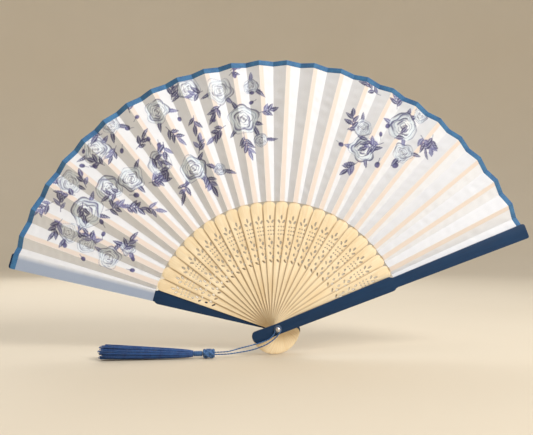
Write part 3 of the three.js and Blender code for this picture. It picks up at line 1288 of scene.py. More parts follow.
@dataclass(frozen=True)
class Spray:
    """A stem with leaves: where it starts, the way it points, its length and number of leaves."""

    angle: float
    reach: float
    heading: float
    length: float
    leaves: int


@dataclass(frozen=True)
class Berry:
    """A small bud: its place, radius and the way its stalk points."""

    angle: float
    reach: float
    radius: float
    heading: float


ROSES = (
    Rose(144.9, 178, 7.8, 0.55, 1), Rose(148.7, 156, 10.5, 1.0, 2), Rose(155.3, 160, 6.8, 0.5, 3),
    Rose(140.2, 153.5, 8.8, 0.85, 4), Rose(134.3, 146.5, 8.5, 0.9, 5), Rose(135.5, 178.5, 9.0, 0.7, 6),
    Rose(129.3, 184, 5.9, 0.6, 7), Rose(118.9, 174.5, 8.1, 0.9, 8), Rose(125.4, 142.5, 8.1, 0.5, 9),
    Rose(117.6, 126.5, 9.0, 1.0, 10), Rose(110.2, 180.5, 8.1, 0.7, 11), Rose(103.4, 173, 9.0, 0.6, 12),
    Rose(98.8, 149.5, 10.2, 1.0, 13), Rose(157.2, 127.5, 7.6, 0.8, 14), Rose(156.2, 146, 6.3, 0.55, 15),
    Rose(109.6, 118.5, 4.1, 0.9, 16), Rose(95.9, 172.5, 5.1, 0.8, 17), Rose(94.6, 133.0, 4.6, 0.8, 18),
    Rose(57.2, 169.5, 10.0, 1.0, 19), Rose(63.7, 141.0, 9.0, 1.0, 20), Rose(53.6, 154, 6.8, 0.65, 21),
    Rose(66.2, 155, 6.1, 0.7, 22), Rose(55.2, 184.5, 5.4, 0.6, 23), Rose(151.6, 118.5, 5.1, 0.7, 24),
)
SPRAYS = (
    Spray(150.3, 180, 150, 15, 5), Spray(153.0, 168, 165, 15, 5), Spray(145.6, 146, 320, 15, 5),
    Spray(143.6, 166, 60, 10, 3), Spray(141.8, 138, 300, 17, 6), Spray(136.6, 166, 110, 11, 4),
    Spray(131.3, 171, 200, 11, 4), Spray(131.5, 136, 330, 12, 4), Spray(128.3, 160, 20, 12, 4),
    Spray(124.3, 183, 80, 11, 4), Spray(118.9, 162, 285, 16, 5), Spray(123.2, 136, 200, 11, 4),
    Spray(121.2, 121, 230, 12, 4), Spray(115.0, 121, 280, 16, 6), Spray(114.0, 134.5, 60, 11, 4),
    Spray(114.8, 178, 60, 11, 4), Spray(107.2, 176, 190, 11, 4), Spray(103.8, 163, 220, 11, 4),
    Spray(104.0, 147.5, 205, 15, 5), Spray(99.6, 140.5, 275, 19, 7), Spray(94.6, 152.5, 10, 12, 5),
    Spray(153.9, 121, 350, 13, 4), Spray(155.2, 139, 60, 13, 5), Spray(138.2, 127, 300, 13, 4),
    Spray(126.8, 150.5, 300, 13, 4), Spray(111.3, 161, 250, 10, 3), Spray(146.6, 169, 120, 10, 3),
    Spray(131.9, 184, 160, 11, 4), Spray(100.6, 182, 30, 10, 3), Spray(121.4, 154, 250, 10, 3),
    Spray(65.2, 182.5, 170, 15, 4), Spray(60.4, 179, 120, 12, 5), Spray(52.6, 172, 330, 13, 5),
    Spray(50.4, 178, 300, 13, 5), Spray(68.7, 148.5, 100, 16, 5), Spray(63.4, 130.5, 240, 12, 5),
    Spray(59.3, 152.5, 230, 18, 6), Spray(57.6, 158, 70, 9, 2), Spray(61.0, 146.5, 170, 10, 3),
    Spray(151.8, 172, 35, 12, 4), Spray(147.0, 162, 215, 12, 4), Spray(138.6, 146, 155, 12, 4),
)
BERRIES = (
    Berry(158.7, 159, 1.5, 30), Berry(160.3, 143.5, 1.5, 60), Berry(158.4, 109, 1.5, 100),
    Berry(151.6, 138.5, 1.5, 200), Berry(148.8, 143.5, 1.6, 240), Berry(140.2, 178, 1.6, 300),
    Berry(138.4, 171, 1.5, 120), Berry(137.6, 184, 1.3, 20), Berry(126.8, 176, 1.6, 330),
    Berry(123.5, 178, 1.4, 200), Berry(131.2, 165.5, 1.5, 40), Berry(136.6, 135.5, 1.8, 130),
    Berry(124.2, 160.5, 1.5, 260), Berry(122.8, 153, 1.5, 70), Berry(114.9, 163, 1.5, 80),
    Berry(99.1, 186.3, 1.3, 200), Berry(99.4, 181, 1.6, 100), Berry(95.8, 168, 1.4, 160),
    Berry(154.5, 111.5, 1.4, 40), Berry(96.2, 161, 1.4, 20), Berry(106.8, 153.0, 1.3, 150),
    Berry(60.5, 165, 1.7, 60), Berry(61.1, 157, 1.4, 300), Berry(57.8, 135.5, 1.9, 100),
    Berry(53.2, 143, 1.9, 80), Berry(70.2, 137.5, 1.6, 150),
)


class Canvas:
    """The silk's points in polar coordinates, and the ink laid on each."""

    def __init__(self, points: np.ndarray) -> None:
        """Takes the points in mm and starts with no ink.

        Args:
            points: rows of x, y and z.
        """
        self.reach = np.hypot(points[:, 0], points[:, 2])
        self.angle = np.degrees(np.arctan2(points[:, 2], points[:, 0]))
        self.ink = np.tile(np.array(Ink.PETAL.value), (len(points), 1))
        self.ink[:, 3] = 0.0

    def near(self, angle: float, reach: float, radius: float) -> tuple[np.ndarray, np.ndarray, np.ndarray]:
        """The points about a place.

        Args:
            angle: the place's angle in degrees.
            reach: its distance from the rivet.
            radius: how far around it to look.

        Returns:
            Their numbers, and how far each lies to the right and outwards.
        """
        right = np.radians(angle - self.angle) * self.reach
        out = self.reach - reach
        chosen = np.nonzero((np.abs(right) < radius) & (np.abs(out) < radius))[0]
        return chosen, right[chosen], out[chosen]

    def lay(self, chosen: np.ndarray, ink: Ink, amount: np.ndarray) -> None:
        """Lays ink over what is there.

        Args:
            chosen: the numbers of the points.
            ink: the colour.
            amount: how much lands on each point, from 0 to 1.
        """
        amount = np.clip(amount, 0, 1)
        old = self.ink[chosen]
        total = amount + old[:, 3] * (1 - amount)
        share = (amount / np.maximum(total, 1e-6))[:, None]
        old[:, :3] = np.array(ink.value)[:3] * share + old[:, :3] * (1 - share)
        old[:, 3] = total
        self.ink[chosen] = old

    def rose(self, rose: Rose) -> None:
        """Paints an open rose: a pale fill, then petals drawn with dark crescents and thin lines.

        Args:
            rose: what to paint.
        """
        chosen, x, z = self.near(rose.angle, rose.reach, rose.radius * 1.4)
        if not len(chosen):
            return
        draw = np.random.default_rng(rose.seed)
        turn = draw.uniform(0, 2 * math.pi, 12)
        phi = np.arctan2(z, x)
        line = 0.22 / rose.radius
        outline = 1 + 0.08 * np.cos(5 * phi + turn[0]) + 0.05 * np.cos(3 * phi + turn[1])
        rho = np.hypot(x, z) / rose.radius / outline
        self.lay(chosen, Ink.PETAL, smooth(1.02, 0.9, rho) * (0.35 + 0.5 * rose.strength))
        self.lay(chosen, Ink.CLEAR, smooth(0.75, 0.4, rho) * 0.55 * rose.strength)
        for k, (ring, lobes) in enumerate(((1.0, 5), (0.8, 4), (0.6, 3), (0.42, 3), (0.24, 2))):
            swing = phi + turn[2 + k]
            edge = ring * (1 + 0.13 * np.abs(np.sin(lobes * swing / 2)) - 0.06)
            drawn = smooth(0.1, 0.45, np.abs(np.sin(lobes * swing / 2 + 0.4)))
            stroke = smooth(line * 1.7, line * 0.35, np.abs(rho - edge)) * (0.35 + 0.65 * drawn)
            self.lay(chosen, Ink.SLATE, stroke * (0.35 + 0.45 * rose.strength))
            inner = smooth(edge - 0.2, edge, rho) * (rho < edge)
            sector = smooth(0.1, 0.75, np.cos(swing * (1 if k < 2 else 2) - turn[7 + k // 2]))
            self.lay(chosen, Ink.INDIGO if k % 2 else Ink.DEEP, inner * sector * (0.3 + 0.68 * rose.strength))
        heart = smooth(0.13, 0.07, rho)
        self.lay(chosen, Ink.DEEP, heart * 0.7 * rose.strength)

    def leaflet(self, angle: float, reach: float, start: tuple[float, float], heading: float,
                length: float, width: float, dark: bool) -> None:
        """Paints one leaf.

        Args:
            angle: the angle of the place that it is measured from.
            reach: that place's distance from the rivet.
            start: where its stalk is, from that place.
            heading: the way it points, in radians.
            length: its length.
            width: its widest half width.
            dark: whether it is a dark leaf.
        """
        chosen, x, z = self.near(angle, reach, 30)
        x, z = x - start[0], z - start[1]
        along = x * math.cos(heading) + z * math.sin(heading)
        side = -x * math.sin(heading) + z * math.cos(heading)
        inside = (along > -0.4) & (along < length + 0.5) & (np.abs(side) < width + 1)
        chosen, along, side = chosen[inside], along[inside], side[inside]
        share = np.clip(along / length, 0, 1)
        half = width * np.sin(math.pi * share**0.75) ** 0.9 * (1 + 0.14 * np.sin(along * 5.2 + side))
        body = smooth(half + 0.22, half - 0.22, np.abs(side)) * (along > 0) * (along < length)
        self.lay(chosen, Ink.INDIGO if dark else Ink.SOFT, body * 0.93)
        shade = body * smooth(-0.1, 0.5, side) * (0.75 if dark else 0.4)
        self.lay(chosen, Ink.DEEP if dark else Ink.INDIGO, shade)
        vein = smooth(0.3, 0.08, np.abs(side)) * (share > 0.1) * (share < 0.85)
        self.lay(chosen, Ink.PETAL, vein * body * 0.5)

    def spray(self, spray: Spray, seed: int) -> None:
        """Paints a stem with leaves on both sides and one at its end.

        Args:
            spray: what to paint.
            seed: sets its random draws.
        """
        draw = np.random.default_rng(100 + seed)
        heading = math.radians(spray.heading)
        curve = draw.uniform(-0.5, 0.5)
        chosen, x, z = self.near(spray.angle, spray.reach, spray.length + 6)
        along = x * math.cos(heading) + z * math.sin(heading)
        side = -x * math.sin(heading) + z * math.cos(heading)
        bend = curve * (along / spray.length) ** 2 * 3
        stem = smooth(0.42, 0.14, np.abs(side - bend)) * (along > 0) * (along < spray.length * 0.85)
        self.lay(chosen, Ink.INDIGO, stem * 0.85)
        for i in range(spray.leaves):
            share = 0.25 + 0.6 * i / max(spray.leaves - 1, 1)
            last = i == spray.leaves - 1
            sign = 0 if last else (1 if i % 2 else -1)
            at = spray.length * share * 0.85
            place_side = curve * (at / spray.length) ** 2 * 3
            start = (
                at * math.cos(heading) - place_side * math.sin(heading),
                at * math.sin(heading) + place_side * math.cos(heading),
            )
            own = heading + sign * draw.uniform(0.6, 0.95) + curve * 0.3
            size = draw.uniform(5.6, 8.0) * (1.15 if last else 1)
            wide, dark = draw.uniform(1.25, 1.8), draw.random() < 0.78
            self.leaflet(spray.angle, spray.reach, start, own, size, wide, dark)

    def wreath(self, rose: Rose) -> None:
        """Paints the leaves that stand out from under a rose.

        Args:
            rose: the rose that they belong to.
        """
        draw = np.random.default_rng(300 + rose.seed)
        first = draw.uniform(0, 2 * math.pi)
        for i in range(round(1 + 1.6 * rose.strength)):
            heading = first + i * 2.1 + draw.uniform(-0.6, 0.6)
            start = (0.72 * rose.radius * math.cos(heading), 0.72 * rose.radius * math.sin(heading))
            size = draw.uniform(6.8, 9.6)
            wide, dark = draw.uniform(1.3, 1.75), draw.random() < 0.75
            self.leaflet(rose.angle, rose.reach, start, heading, size, wide, dark)

    def berry(self, berry: Berry) -> None:
        """Paints a bud with a short stalk.

        Args:
            berry: what to paint.
        """
        chosen, x, z = self.near(berry.angle, berry.reach, berry.radius * 4)
        heading = math.radians(berry.heading)
        along = x * math.cos(heading) + z * math.sin(heading)
        side = -x * math.sin(heading) + z * math.cos(heading)
        stalk = smooth(0.38, 0.12, np.abs(side)) * (along > 0) * (along < berry.radius * 3)
        self.lay(chosen, Ink.INDIGO, stalk * 0.8)
        rho = np.hypot(along * 0.82, side)
        body = smooth(berry.radius + 0.2, berry.radius - 0.25, rho)
        self.lay(chosen, Ink.INDIGO, body * 0.95)
        glint = np.hypot(along + berry.radius * 0.35, side - berry.radius * 0.3)
        light = smooth(berry.radius * 0.6, 0.1, glint)
        self.lay(chosen, Ink.SOFT, light * body * 0.7)
        self.lay(chosen, Ink.DEEP, body * smooth(0.1, berry.radius, along) * 0.7)

    def paint(self) -> None:
        """Paints the whole print."""
        for rose in ROSES:
            self.wreath(rose)
        for rose in ROSES:
            self.rose(rose)
        for seed, spray in enumerate(SPRAYS):
            self.spray(spray, seed)
        for berry in BERRIES:
            self.berry(berry)


@dataclass
class Leaf:
    """The pleated silk leaf, in one gore for each space between blades, and its edge binding."""

    lay: Layout
    rows: int = 190
    spans: tuple[int, int, int, int] = (3, 14, 20, 3)
    binding_wide: float = 3.4
    binding_thick: float = 0.1
    crease: float = 0.16
    blend_half: float = 3.6
    pieces: list[bpy.types.Object] = field(default_factory=list)

    def folds(self, index: int, along: float, outer: bool) -> dict[str, Point]:
        """The folds that a rib gives the leaf at one of its edges.

        Args:
            index: the rib's number.
            along: distance from the rivet.
            outer: whether it is the leaf's outer edge.

        Returns:
            The places of the folds, in mm, by name.
        """
        lay = self.lay
        angle = lay.angle(index)
        fold = Pleat.at(lay, along, outer)
        base = lay.depth(index) - lay.stand_off
        centre = base + (fold.mountain + fold.passing) / 2
        return {
            "centre": lay.beside(angle, along, 0, centre),
            "mountain": lay.beside(angle, along, fold.edge, base + fold.mountain),
            "pass": lay.beside(angle, along, -fold.edge, base + fold.passing),
            "valley": lay.beside(angle, along, fold.valley_aside, base + fold.valley),
        }

    def section(self, index: int, along: float, outer: bool) -> np.ndarray:
        """The gore's five folds along one edge of the leaf, from the blade behind to the next.

        Args:
            index: the blade behind the gore, 0 for the rear guard.
            along: distance from the rivet.
            outer: whether it is the leaf's outer edge.

        Returns:
            The places of the five folds, in mm.
        """
        lay = self.lay
        half = lay.guard_tip_half if outer else lay.guard_neck_half
        following = self.folds(index + 1, along, outer) if index < lay.ribs else {}
        if index == 0:
            angle = lay.angle(0)
            over = lay.guard_inner - 0.3
            valley = lay.depth(1) - lay.stand_off + lay.valley_back * along / lay.leaf_outer
            return np.array([
                lay.beside(angle, along, half, over),
                lay.beside(angle, along, -half - 0.3, over),
                lay.beside(angle - lay.step / 2, along, 0, valley),
                following["mountain"],
                following["centre"],
            ])
        own = self.folds(index, along, outer)
        start = [own["centre"], own["pass"], own["valley"]]
        if following:
            return np.array([*start, following["mountain"], following["centre"]])
        angle = lay.angle(index + 1)
        behind = -lay.guard_inner + 0.05
        return np.array([
            *start,
            lay.beside(angle, along, half - 0.5, behind),
            lay.beside(angle, along, 1 - half, behind),
        ])

    def columns(self) -> tuple[np.ndarray, np.ndarray]:
        """For each column of a gore, the fold it follows and the share of the way to the next.

        Returns:
            The folds and the shares.
        """
        number = np.concatenate([np.full(n, i) for i, n in enumerate(self.spans)] + [[len(self.spans) - 1]])
        share = np.concatenate([np.arange(n) / n for n in self.spans] + [[1.0]])
        return number.astype(int), share

    def surface(self, index: int, reach: np.ndarray) -> tuple[np.ndarray, np.ndarray]:
        """Points of the gore's front.

        Args:
            index: the blade behind the gore.
            reach: distance from the rivet of each row.

        Returns:
            The points in mm, rows x columns x 3, and the silk's own coordinates, rows x columns x 2.
        """
        lay = self.lay
        inner = self.section(index, lay.leaf_inner, False)
        outer = self.section(index, lay.leaf_outer, True)
        number, share = self.columns()
        sides = [edge[number] + (edge[number + 1] - edge[number]) * share[:, None] for edge in (inner, outer)]
        t = ((reach - lay.leaf_inner) / (lay.leaf_outer - lay.leaf_inner))[:, None, None]
        points = sides[0][None] * (1 - t) + sides[1][None] * t
        points[:, :, 1] += self.creases(index, reach, number, share)
        run = np.concatenate([
            np.zeros((len(reach), 1)),
            np.cumsum(np.linalg.norm(np.diff(points, axis=1), axis=2), axis=1),
        ], axis=1)
        own = np.stack([run + index * 27.0, np.repeat(reach[:, None], run.shape[1], axis=1)], axis=2)
        return points, own

    def creases(self, index: int, reach: np.ndarray, number: np.ndarray, share: np.ndarray) -> np.ndarray:
        """Small waves of the silk between its folds, in mm.

        Args:
            index: the blade behind the gore, 0 for the rear guard.
            reach: distance from the rivet of each row.
            number: the fold that each column follows.
            share: each column's share of the way to the next fold.

        Returns:
            The depth of the waves, by row and column.
        """
        draw = np.random.default_rng(500 + index)
        free = np.where((number == 1) | (number == 2), np.sin(math.pi * share), 0.0)
        total = np.zeros((len(reach), len(number)))
        for _ in range(7):
            pace, lean = draw.uniform(0.02, 0.16), draw.uniform(-1.2, 1.2)
            start, start2 = draw.uniform(0, 6.28, 2)
            phase = reach[:, None] * pace * 2 * math.pi + (number + share)[None] * lean * 2 + start
            total += np.sin(phase) * np.sin(reach[:, None] * pace + start2) * draw.uniform(0.2, 0.6)
        return total * free[None] * self.crease

    def build(self, silk: bpy.types.Material, tape: bpy.types.Material, ribs: Ribs) -> None:
        """Makes every gore and its binding and prints the silk.

        Args:
            silk: the leaf's material.
            tape: the binding's material.
            ribs: the finished ribs, which the gores rest on; not used.
        """
        lay = self.lay
        reach = np.linspace(lay.leaf_inner, lay.leaf_outer, self.rows + 1)
        grids = [self.surface(index, reach) for index in range(lay.ribs + 1)]
        canvas = Canvas(np.concatenate([points.reshape(-1, 3) for points, _ in grids]))
        canvas.paint()
        prints = canvas.ink.reshape(lay.ribs + 1, -1, 4)
        number, share = self.columns()
        for index, (points, own) in enumerate(grids):
            obj = sheet_grid(f"silk_gore_{index + 1:02d}", metres(points), own * MM)
            set_field(obj, "print", prints[index])
            set_field(obj, "slip", np.tile(self.slip_mask(index, number, share), self.rows + 1))
            set_field(obj, "backed", np.tile(self.guard_mask(index, number, share), self.rows + 1))
            wide = float(own[-1, -1, 0] - own[-1, 0, 0])
            self.finish_sheet(obj, silk, index, lay.silk_thick)
            binding = self.bind(index, tape)
            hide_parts(f"leaf_gore_{index + 1:02d}")
            self.pieces.append(obj)
        LOG.info("%d gores and bindings", len(self.pieces))

    def slip_mask(self, index: int, number: np.ndarray, share: np.ndarray) -> np.ndarray:
        """Where a slip lies behind the silk, for each column.

        Args:
            index: the blade behind the gore, 0 for the rear guard.
            number: the fold that each column follows.
            share: each column's share of the way to the next fold.

        Returns:
            1 on a slip, 0 beside it.
        """
        own = (number == 0) * 1.0 if index else np.zeros(len(number))
        following = (number == 3) * 1.0 if index < self.lay.ribs else np.zeros(len(number))
        last = np.where((number == 3) & (share < 0.05), 0.5, following)
        return np.maximum(own, last)

    def guard_mask(self, index: int, number: np.ndarray, share: np.ndarray) -> np.ndarray:
        """Where the rear guard lies behind the silk, for each column."""
        return np.where(number == 0, 1.0, 0.0) * (index == 0) * np.where(share < 1, 1.0, 0.0)

    def finish_sheet(
        self, obj: bpy.types.Object, material: bpy.types.Material, index: int, thick: float
    ) -> None:
        """Gives a sheet its thickness and material.

        Args:
            obj: the sheet.
            material: its material.
            index: the blade behind the gore, 0 for the rear guard.
            thick: its thickness in mm.
        """
        lay = self.lay
        finish_with(obj, "SOLIDIFY", thickness=thick * MM, offset=-1.0, use_even_offset=False)
        soften(obj, 28)
        dress(obj, material)
        middle = lay.angle(index) - lay.step * 0.75
        radius = (lay.leaf_inner + lay.leaf_outer) / 2
        ends = [metres(lay.beside(middle, radius, aside, 0)) for aside in (self.blend_half, -self.blend_half)]
        lay.body(index)
        lay.body(index + 1)
        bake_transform(obj)

    def bind(self, index: int, tape: bpy.types.Material) -> bpy.types.Object:
        """Makes the tape folded over the gore's outer edge.

        Args:
            index: the blade behind the gore, 0 for the rear guard.
            tape: the tape's material.

        Returns:
            The tape.
        """
        lay = self.lay
        low = lay.leaf_outer - self.binding_wide
        profile = [
            (low, -0.02), (low + 0.25, -0.12), (low + 1.2, -0.13), (low + 2.3, -0.13),
            (lay.leaf_outer - 0.3, -0.12),
            (lay.leaf_outer + 0.1, -0.06), (lay.leaf_outer + 0.22, 0.07), (lay.leaf_outer + 0.1, 0.22),
            (lay.leaf_outer - 0.4, 0.27), (low + 1.9, 0.28), (low + 0.6, 0.27), (low + 0.4, 0.2),
        ]
        reach = np.array([r for r, _ in profile])
        points, own = self.surface(index, reach)
        points[:, :, 1] += np.array([depth for _, depth in profile])[:, None]
        run = np.concatenate([[0], np.cumsum(np.hypot(np.diff(reach), np.diff([d for _, d in profile])))])
        own[:, :, 1] = run[:, None]
        obj = sheet_grid(f"edge_binding_{index + 1:02d}", metres(points), own * MM)
        self.finish_sheet(obj, tape, index, self.binding_thick)
        return obj


# ---------------------------------------------------------------- rivet and tassel


@dataclass
class Rivet:
    """The pin that the blades turn on, with its two washers."""

    lay: Layout
    pin_radius: float = 1.1
    head_radius: float = 1.75
    head_high: float = 1.2
    neck: float = 1.2
    washer_radius: float = 2.8
    washer_thick: float = 0.5

    def standing(self, obj: bpy.types.Object) -> bpy.types.Object:
        """Lays a piece that was made along +Z along Y, its top to the front."""
        obj.data.transform(Matrix.Rotation(math.radians(90), 4, "X"))
        return obj

    def pin(self) -> bpy.types.Object:
        """The shaft with a domed head in front and a peened end behind.

        Returns:
            The pin, lying along Y.
        """
        r, head = self.pin_radius, self.head_radius
        outer = self.lay.washer_outer
        top = outer + self.neck
        dome = [
            (top + self.head_high * math.sin(t), head * math.cos(t))
            for t in np.radians([12, 28, 44, 60, 76, 88])
        ]
        rear = -(outer + 0.03)
        peen = [
            (rear - 0.85, 0.35), (rear - 0.8, head * 0.45),
            (rear - 0.6, head * 0.8), (rear - 0.3, head * 0.97),
        ]
        rings = [*peen, (rear, head), (rear, r), (top, r), (top, head * 0.94), (top + 0.1, head), *dome]
        return self.standing(stacked("rivet", rings, 40))

    def washer(self, name: str, low: float) -> bpy.types.Object:
        """One washer, with rounded rims, between two heights.

        Args:
            name: the piece's name.
            low: the lower height in mm.

        Returns:
            The washer, lying across Y.
        """
        high = low + self.washer_thick
        hole, wide = self.pin_radius + 0.15, self.washer_radius
        obj = stacked(name, [(low, wide), (high, wide)], 40)
        bpy.ops.object.select_all(action="DESELECT")
        bpy.ops.mesh.primitive_cylinder_add(vertices=32, radius=hole * MM, depth=0.1)
        cut(obj, new_piece("cutter"))
        finish_with(obj, "BEVEL", width=0.12 * MM, segments=3, limit_method="ANGLE")
        return self.standing(obj)

    def build(self, steel: bpy.types.Material, dull: bpy.types.Material) -> None:
        """Makes the rivet and washers and puts them on the front guard.

        Args:
            steel: the pin's material.
            dull: the washers' material.
        """
        outer = self.lay.washer_outer
        made = (
            (self.pin(), steel, Slot.RIVET, "rivet_pin"),
            (self.washer("front_ring", outer - self.washer_thick), dull, Slot.WASHER, "front_washer"),
            (self.washer("rear_ring", -outer), dull, Slot.WASHER, "rear_washer"),
        )
        for obj, material, slot, node in made:
            soften(obj, 35)
            dress(obj, material)
            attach(obj, Body.FRONT.value)
            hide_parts(node)
        LOG.info("rivet and washers")


@dataclass
class Tassel:
    """Two strands looped round the rivet, a knot, a bound neck and a skirt of threads."""

    lay: Layout
    strand_radius: float = 0.45
    loop: float = 1.85
    twist_pitch: float = 2.1
    start: float = 42.8
    bead_long: float = 8.2
    bead_radius: float = 3.2
    neck_start: float = 51.15
    neck_long: float = 6.0
    neck_radius: float = 1.85
    skirt_start: float = 57.3
    skirt_long: float = 62.6
    skirt_top: float = 1.9
    skirt_end: float = 5.0
    thread_radius: float = 0.27
    threads: int = 210
    run_on: float = 16.0

    @property
    def level(self) -> float:
        """Height of the tassel's middle line."""
        return self.bead_radius - self.lay.butt_reach

    @property
    def lie(self) -> float:
        """Depth of the tassel's middle line."""
        return self.cord_depth - 0.3

    @property
    def cord_depth(self) -> float:
        """Depth of the loop round the rivet's neck."""
        return -(self.lay.washer_outer + 0.6)

    def upper(self) -> np.ndarray:
        """Points of the strand that runs on above the other.

        Returns:
            Its points in mm.
        """
        y, r, z = self.cord_depth, self.loop, self.level
        end = -self.skirt_start - self.run_on
        return np.array([
            (-0.06, y, r), (-r * 0.5, y, r * 0.87), (-r, y, 0), (-r * 1.3, y, -r * 1.25),
            (-5.2, y - 0.1, -5.8), (-11.6, y - 0.2, -8.6), (-18.5, y - 0.3, -10.4), (-26, y - 0.3, -12.2),
            (-34, y - 0.3, z + 1.1), (-self.start + 0.15, y - 0.3, z + 0.7),
            (-self.start - 4, y - 0.3, z + 0.5), (-self.neck_start - 3, y - 0.3, z + 0.5),
            (end + 8, y - 0.3, z + 0.5), (end, y - 0.3, z + 0.4),
        ])

    def lower(self) -> np.ndarray:
        """Points of the strand that leaves the rivet below the other.

        Returns:
            Its points in mm.
        """
        y, r, z = self.cord_depth, self.loop, self.level
        end = -self.skirt_start - self.run_on
        return np.array([
            (0.06, y, r), (r * 0.5, y, r * 0.87), (r, y, 0), (r * 0.5, y, -r * 1.3),
            (-2.2, y, -6.1), (-7.6, y, -9.8), (-13.8, y - 0.1, -12.3), (-20, y - 0.3, -13.9),
            (-27, y - 0.3, -15), (-34, y - 0.3, z - 0.6), (-self.start + 0.15, y - 0.3, z - 0.7),
            (-self.start - 4, y - 0.3, z - 0.55), (-self.neck_start - 3, y - 0.3, z - 0.5),
            (end + 8, y - 0.3, z - 0.6), (end, y - 0.3, z - 0.6),
        ])

    def strand(self, name: str, points: np.ndarray) -> tuple[bpy.types.Object, np.ndarray]:
        """A strand of two plies laid round each other, and the line it follows.

        Args:
            name: the piece's name.
            points: the points of its route, in mm.

        Returns:
            The strand, and its line in metres.
        """
        path = catmull(metres(points), 0.28 * MM)
        sides = 12
        run = np.linspace(0, length_of(path), len(path))[:, None]
        turn = np.linspace(0, 2 * math.pi, sides, endpoint=False)[None]
        ply = np.abs(np.cos(turn - run / (self.twist_pitch * MM) * math.pi))
        outline = self.strand_radius * MM * (0.58 + 0.44 * ply)
        obj = tube(name, path, outline)
        soften(obj, 60)
        return obj, path

    def knot(self) -> bpy.types.Object:
        """The knotted bead: cord plaited round a core.

        Returns:
            The knot.
        """
        half = self.bead_long / 2
        rings = [
            (half * (1 + math.sin(t)) * 0.98 + 0.08, max(self.bead_radius * 0.78 * math.cos(t) ** 0.5, 0.3))
            for t in np.radians([-88, -66, -45, -22, 0, 22, 45, 66, 88])
        ]
        core = self.laid(stacked("core", rings, 24), self.start, 0)
        set_uv(core, coordinates(core)[:, [1, 0]])
        turn = np.linspace(0, 2 * math.pi, 420)
        reach = (half - 0.75) * np.sin(5 * turn)
        body = (self.bead_radius - 0.82) * (1 - 0.35 * (reach / half) ** 4) + 0.28 * np.sin(18 * turn + 0.4)
        around = 4 * turn
        y = self.lie
        path = np.stack([
            -self.start - half + reach,
            y + body * np.cos(around),
            self.level + body * np.sin(around),
        ], axis=1)
        plait = tube("plait", metres(path), np.full((len(path), 8), 0.72 * MM))
        obj = joined("tassel_knot", [core, plait])
        soften(obj, 60)
        return obj

    def laid(self, obj: bpy.types.Object, start: float, droop: float) -> bpy.types.Object:
        """Lays a piece that was made along +Z along -X, from the given start.

        Args:
            obj: the piece.
            start: distance of its start from the rivet.
            droop: extra turn downwards, in degrees.

        Returns:
            The same piece.
        """
        obj.data.transform(Matrix.Rotation(math.radians(-90 + droop), 4, "Y"))
        obj.data.transform(Matrix.Translation(Vector((-start, self.lie, self.level)) * MM))
        return obj

    def neck(self) -> bpy.types.Object:
        """The bound neck: turns of thread side by side.

        Returns:
            The neck.
        """
        turns = 11
        rings = [(0.0, 1.2)]
        for i in range(turns):
            low = 0.1 + (self.neck_long - 0.2) * i / turns
            pitch = (self.neck_long - 0.2) / turns
            for share, radius in ((0.0, 0.86), (0.22, 0.97), (0.5, 1.0), (0.78, 0.97)):
                rings.append((low + pitch * share, self.neck_radius * radius))
        rings.append((self.neck_long, 1.2))
        obj = self.laid(stacked("tassel_binding", rings, 28), self.neck_start, 0)
        points = coordinates(obj)
        set_uv(obj, points[:, [1, 0]])
        soften(obj, 50)
        return obj

    def skirt(self) -> bpy.types.Object:
        """The skirt: threads that leave the neck together, spread and lie on the floor.

        Returns:
            All threads as one object.
        """
        draw = np.random.default_rng(7)
        floor = -self.lay.butt_reach + self.thread_radius + 0.02
        rings, sides = 18, 6
        share = np.linspace(0, 1, rings)
        threads = []
        for i in range(self.threads):
            spread = math.sqrt((i + 0.5) / self.threads)
            angle = i * GOLDEN_TURN + draw.normal(0, 0.1)
            long = self.skirt_long * draw.uniform(0.9, 1.0)
            swell = self.skirt_top + (self.skirt_end - self.skirt_top) * share ** 0.55
            swell = swell * spread * draw.uniform(0.9, 1.0)
            sway = draw.normal(0, 0.35) * np.sin(share * math.pi * draw.uniform(0.8, 2.2))
            lift = draw.normal(0, 0.3) * np.sin(share * math.pi * draw.uniform(0.8, 2.2) + draw.uniform(0, 3))
            drop = 2.1 * share
            y = self.lie + swell * math.cos(angle) * 1.15 + sway * share
            z = self.level + drop + swell * math.sin(angle) + lift * share
            path = np.stack([-self.skirt_start - 0.02 - share * long, y, np.maximum(z, floor)], axis=1)
            radius = self.thread_radius * (1 - 0.25 * share**6)
            outline = np.repeat((radius * MM)[:, None], sides, axis=1)
            threads.append(tube(f"thread_{i}", metres(path), outline))
        obj = joined("tassel_skirt_threads", threads)
        soften(obj, 80)
        return obj

    def build(self, cord: bpy.types.Material, thread: bpy.types.Material) -> None:
        """Makes the tassel and logs the length of its two strands.

        Args:
            cord: the material of the strands, knot and neck.
            thread: the material of the skirt.
        """
        made = [
            self.strand("looped_cord_upper", self.upper()),
            self.strand("looped_cord_lower", self.lower()),
        ]
        knot, neck, skirt = self.knot(), self.neck(), self.skirt()
        rows = (
            (made[0][0], cord, Slot.CORD, "tassel_cord_upper"),
            (made[1][0], cord, Slot.CORD, "tassel_cord_lower"),
            (knot, cord, Slot.CORD, "tassel_bead"),
            (neck, cord, Slot.CORD, "tassel_neck"),
            (skirt, thread, Slot.THREAD, "tassel_skirt"),
        )
        for obj, material, slot, node in rows:
            dress(obj, material)
            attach(obj, Body.FRONT.value)
            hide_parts(node)
        for (obj, path), pieces in zip(made, ([knot, neck, skirt], [])):
            path[::3].tolist() + [path[-1].tolist()]
            LOG.info("strand %s, %.1f mm", obj.name, length_of(path) / MM)


# ---------------------------------------------------------------- stage


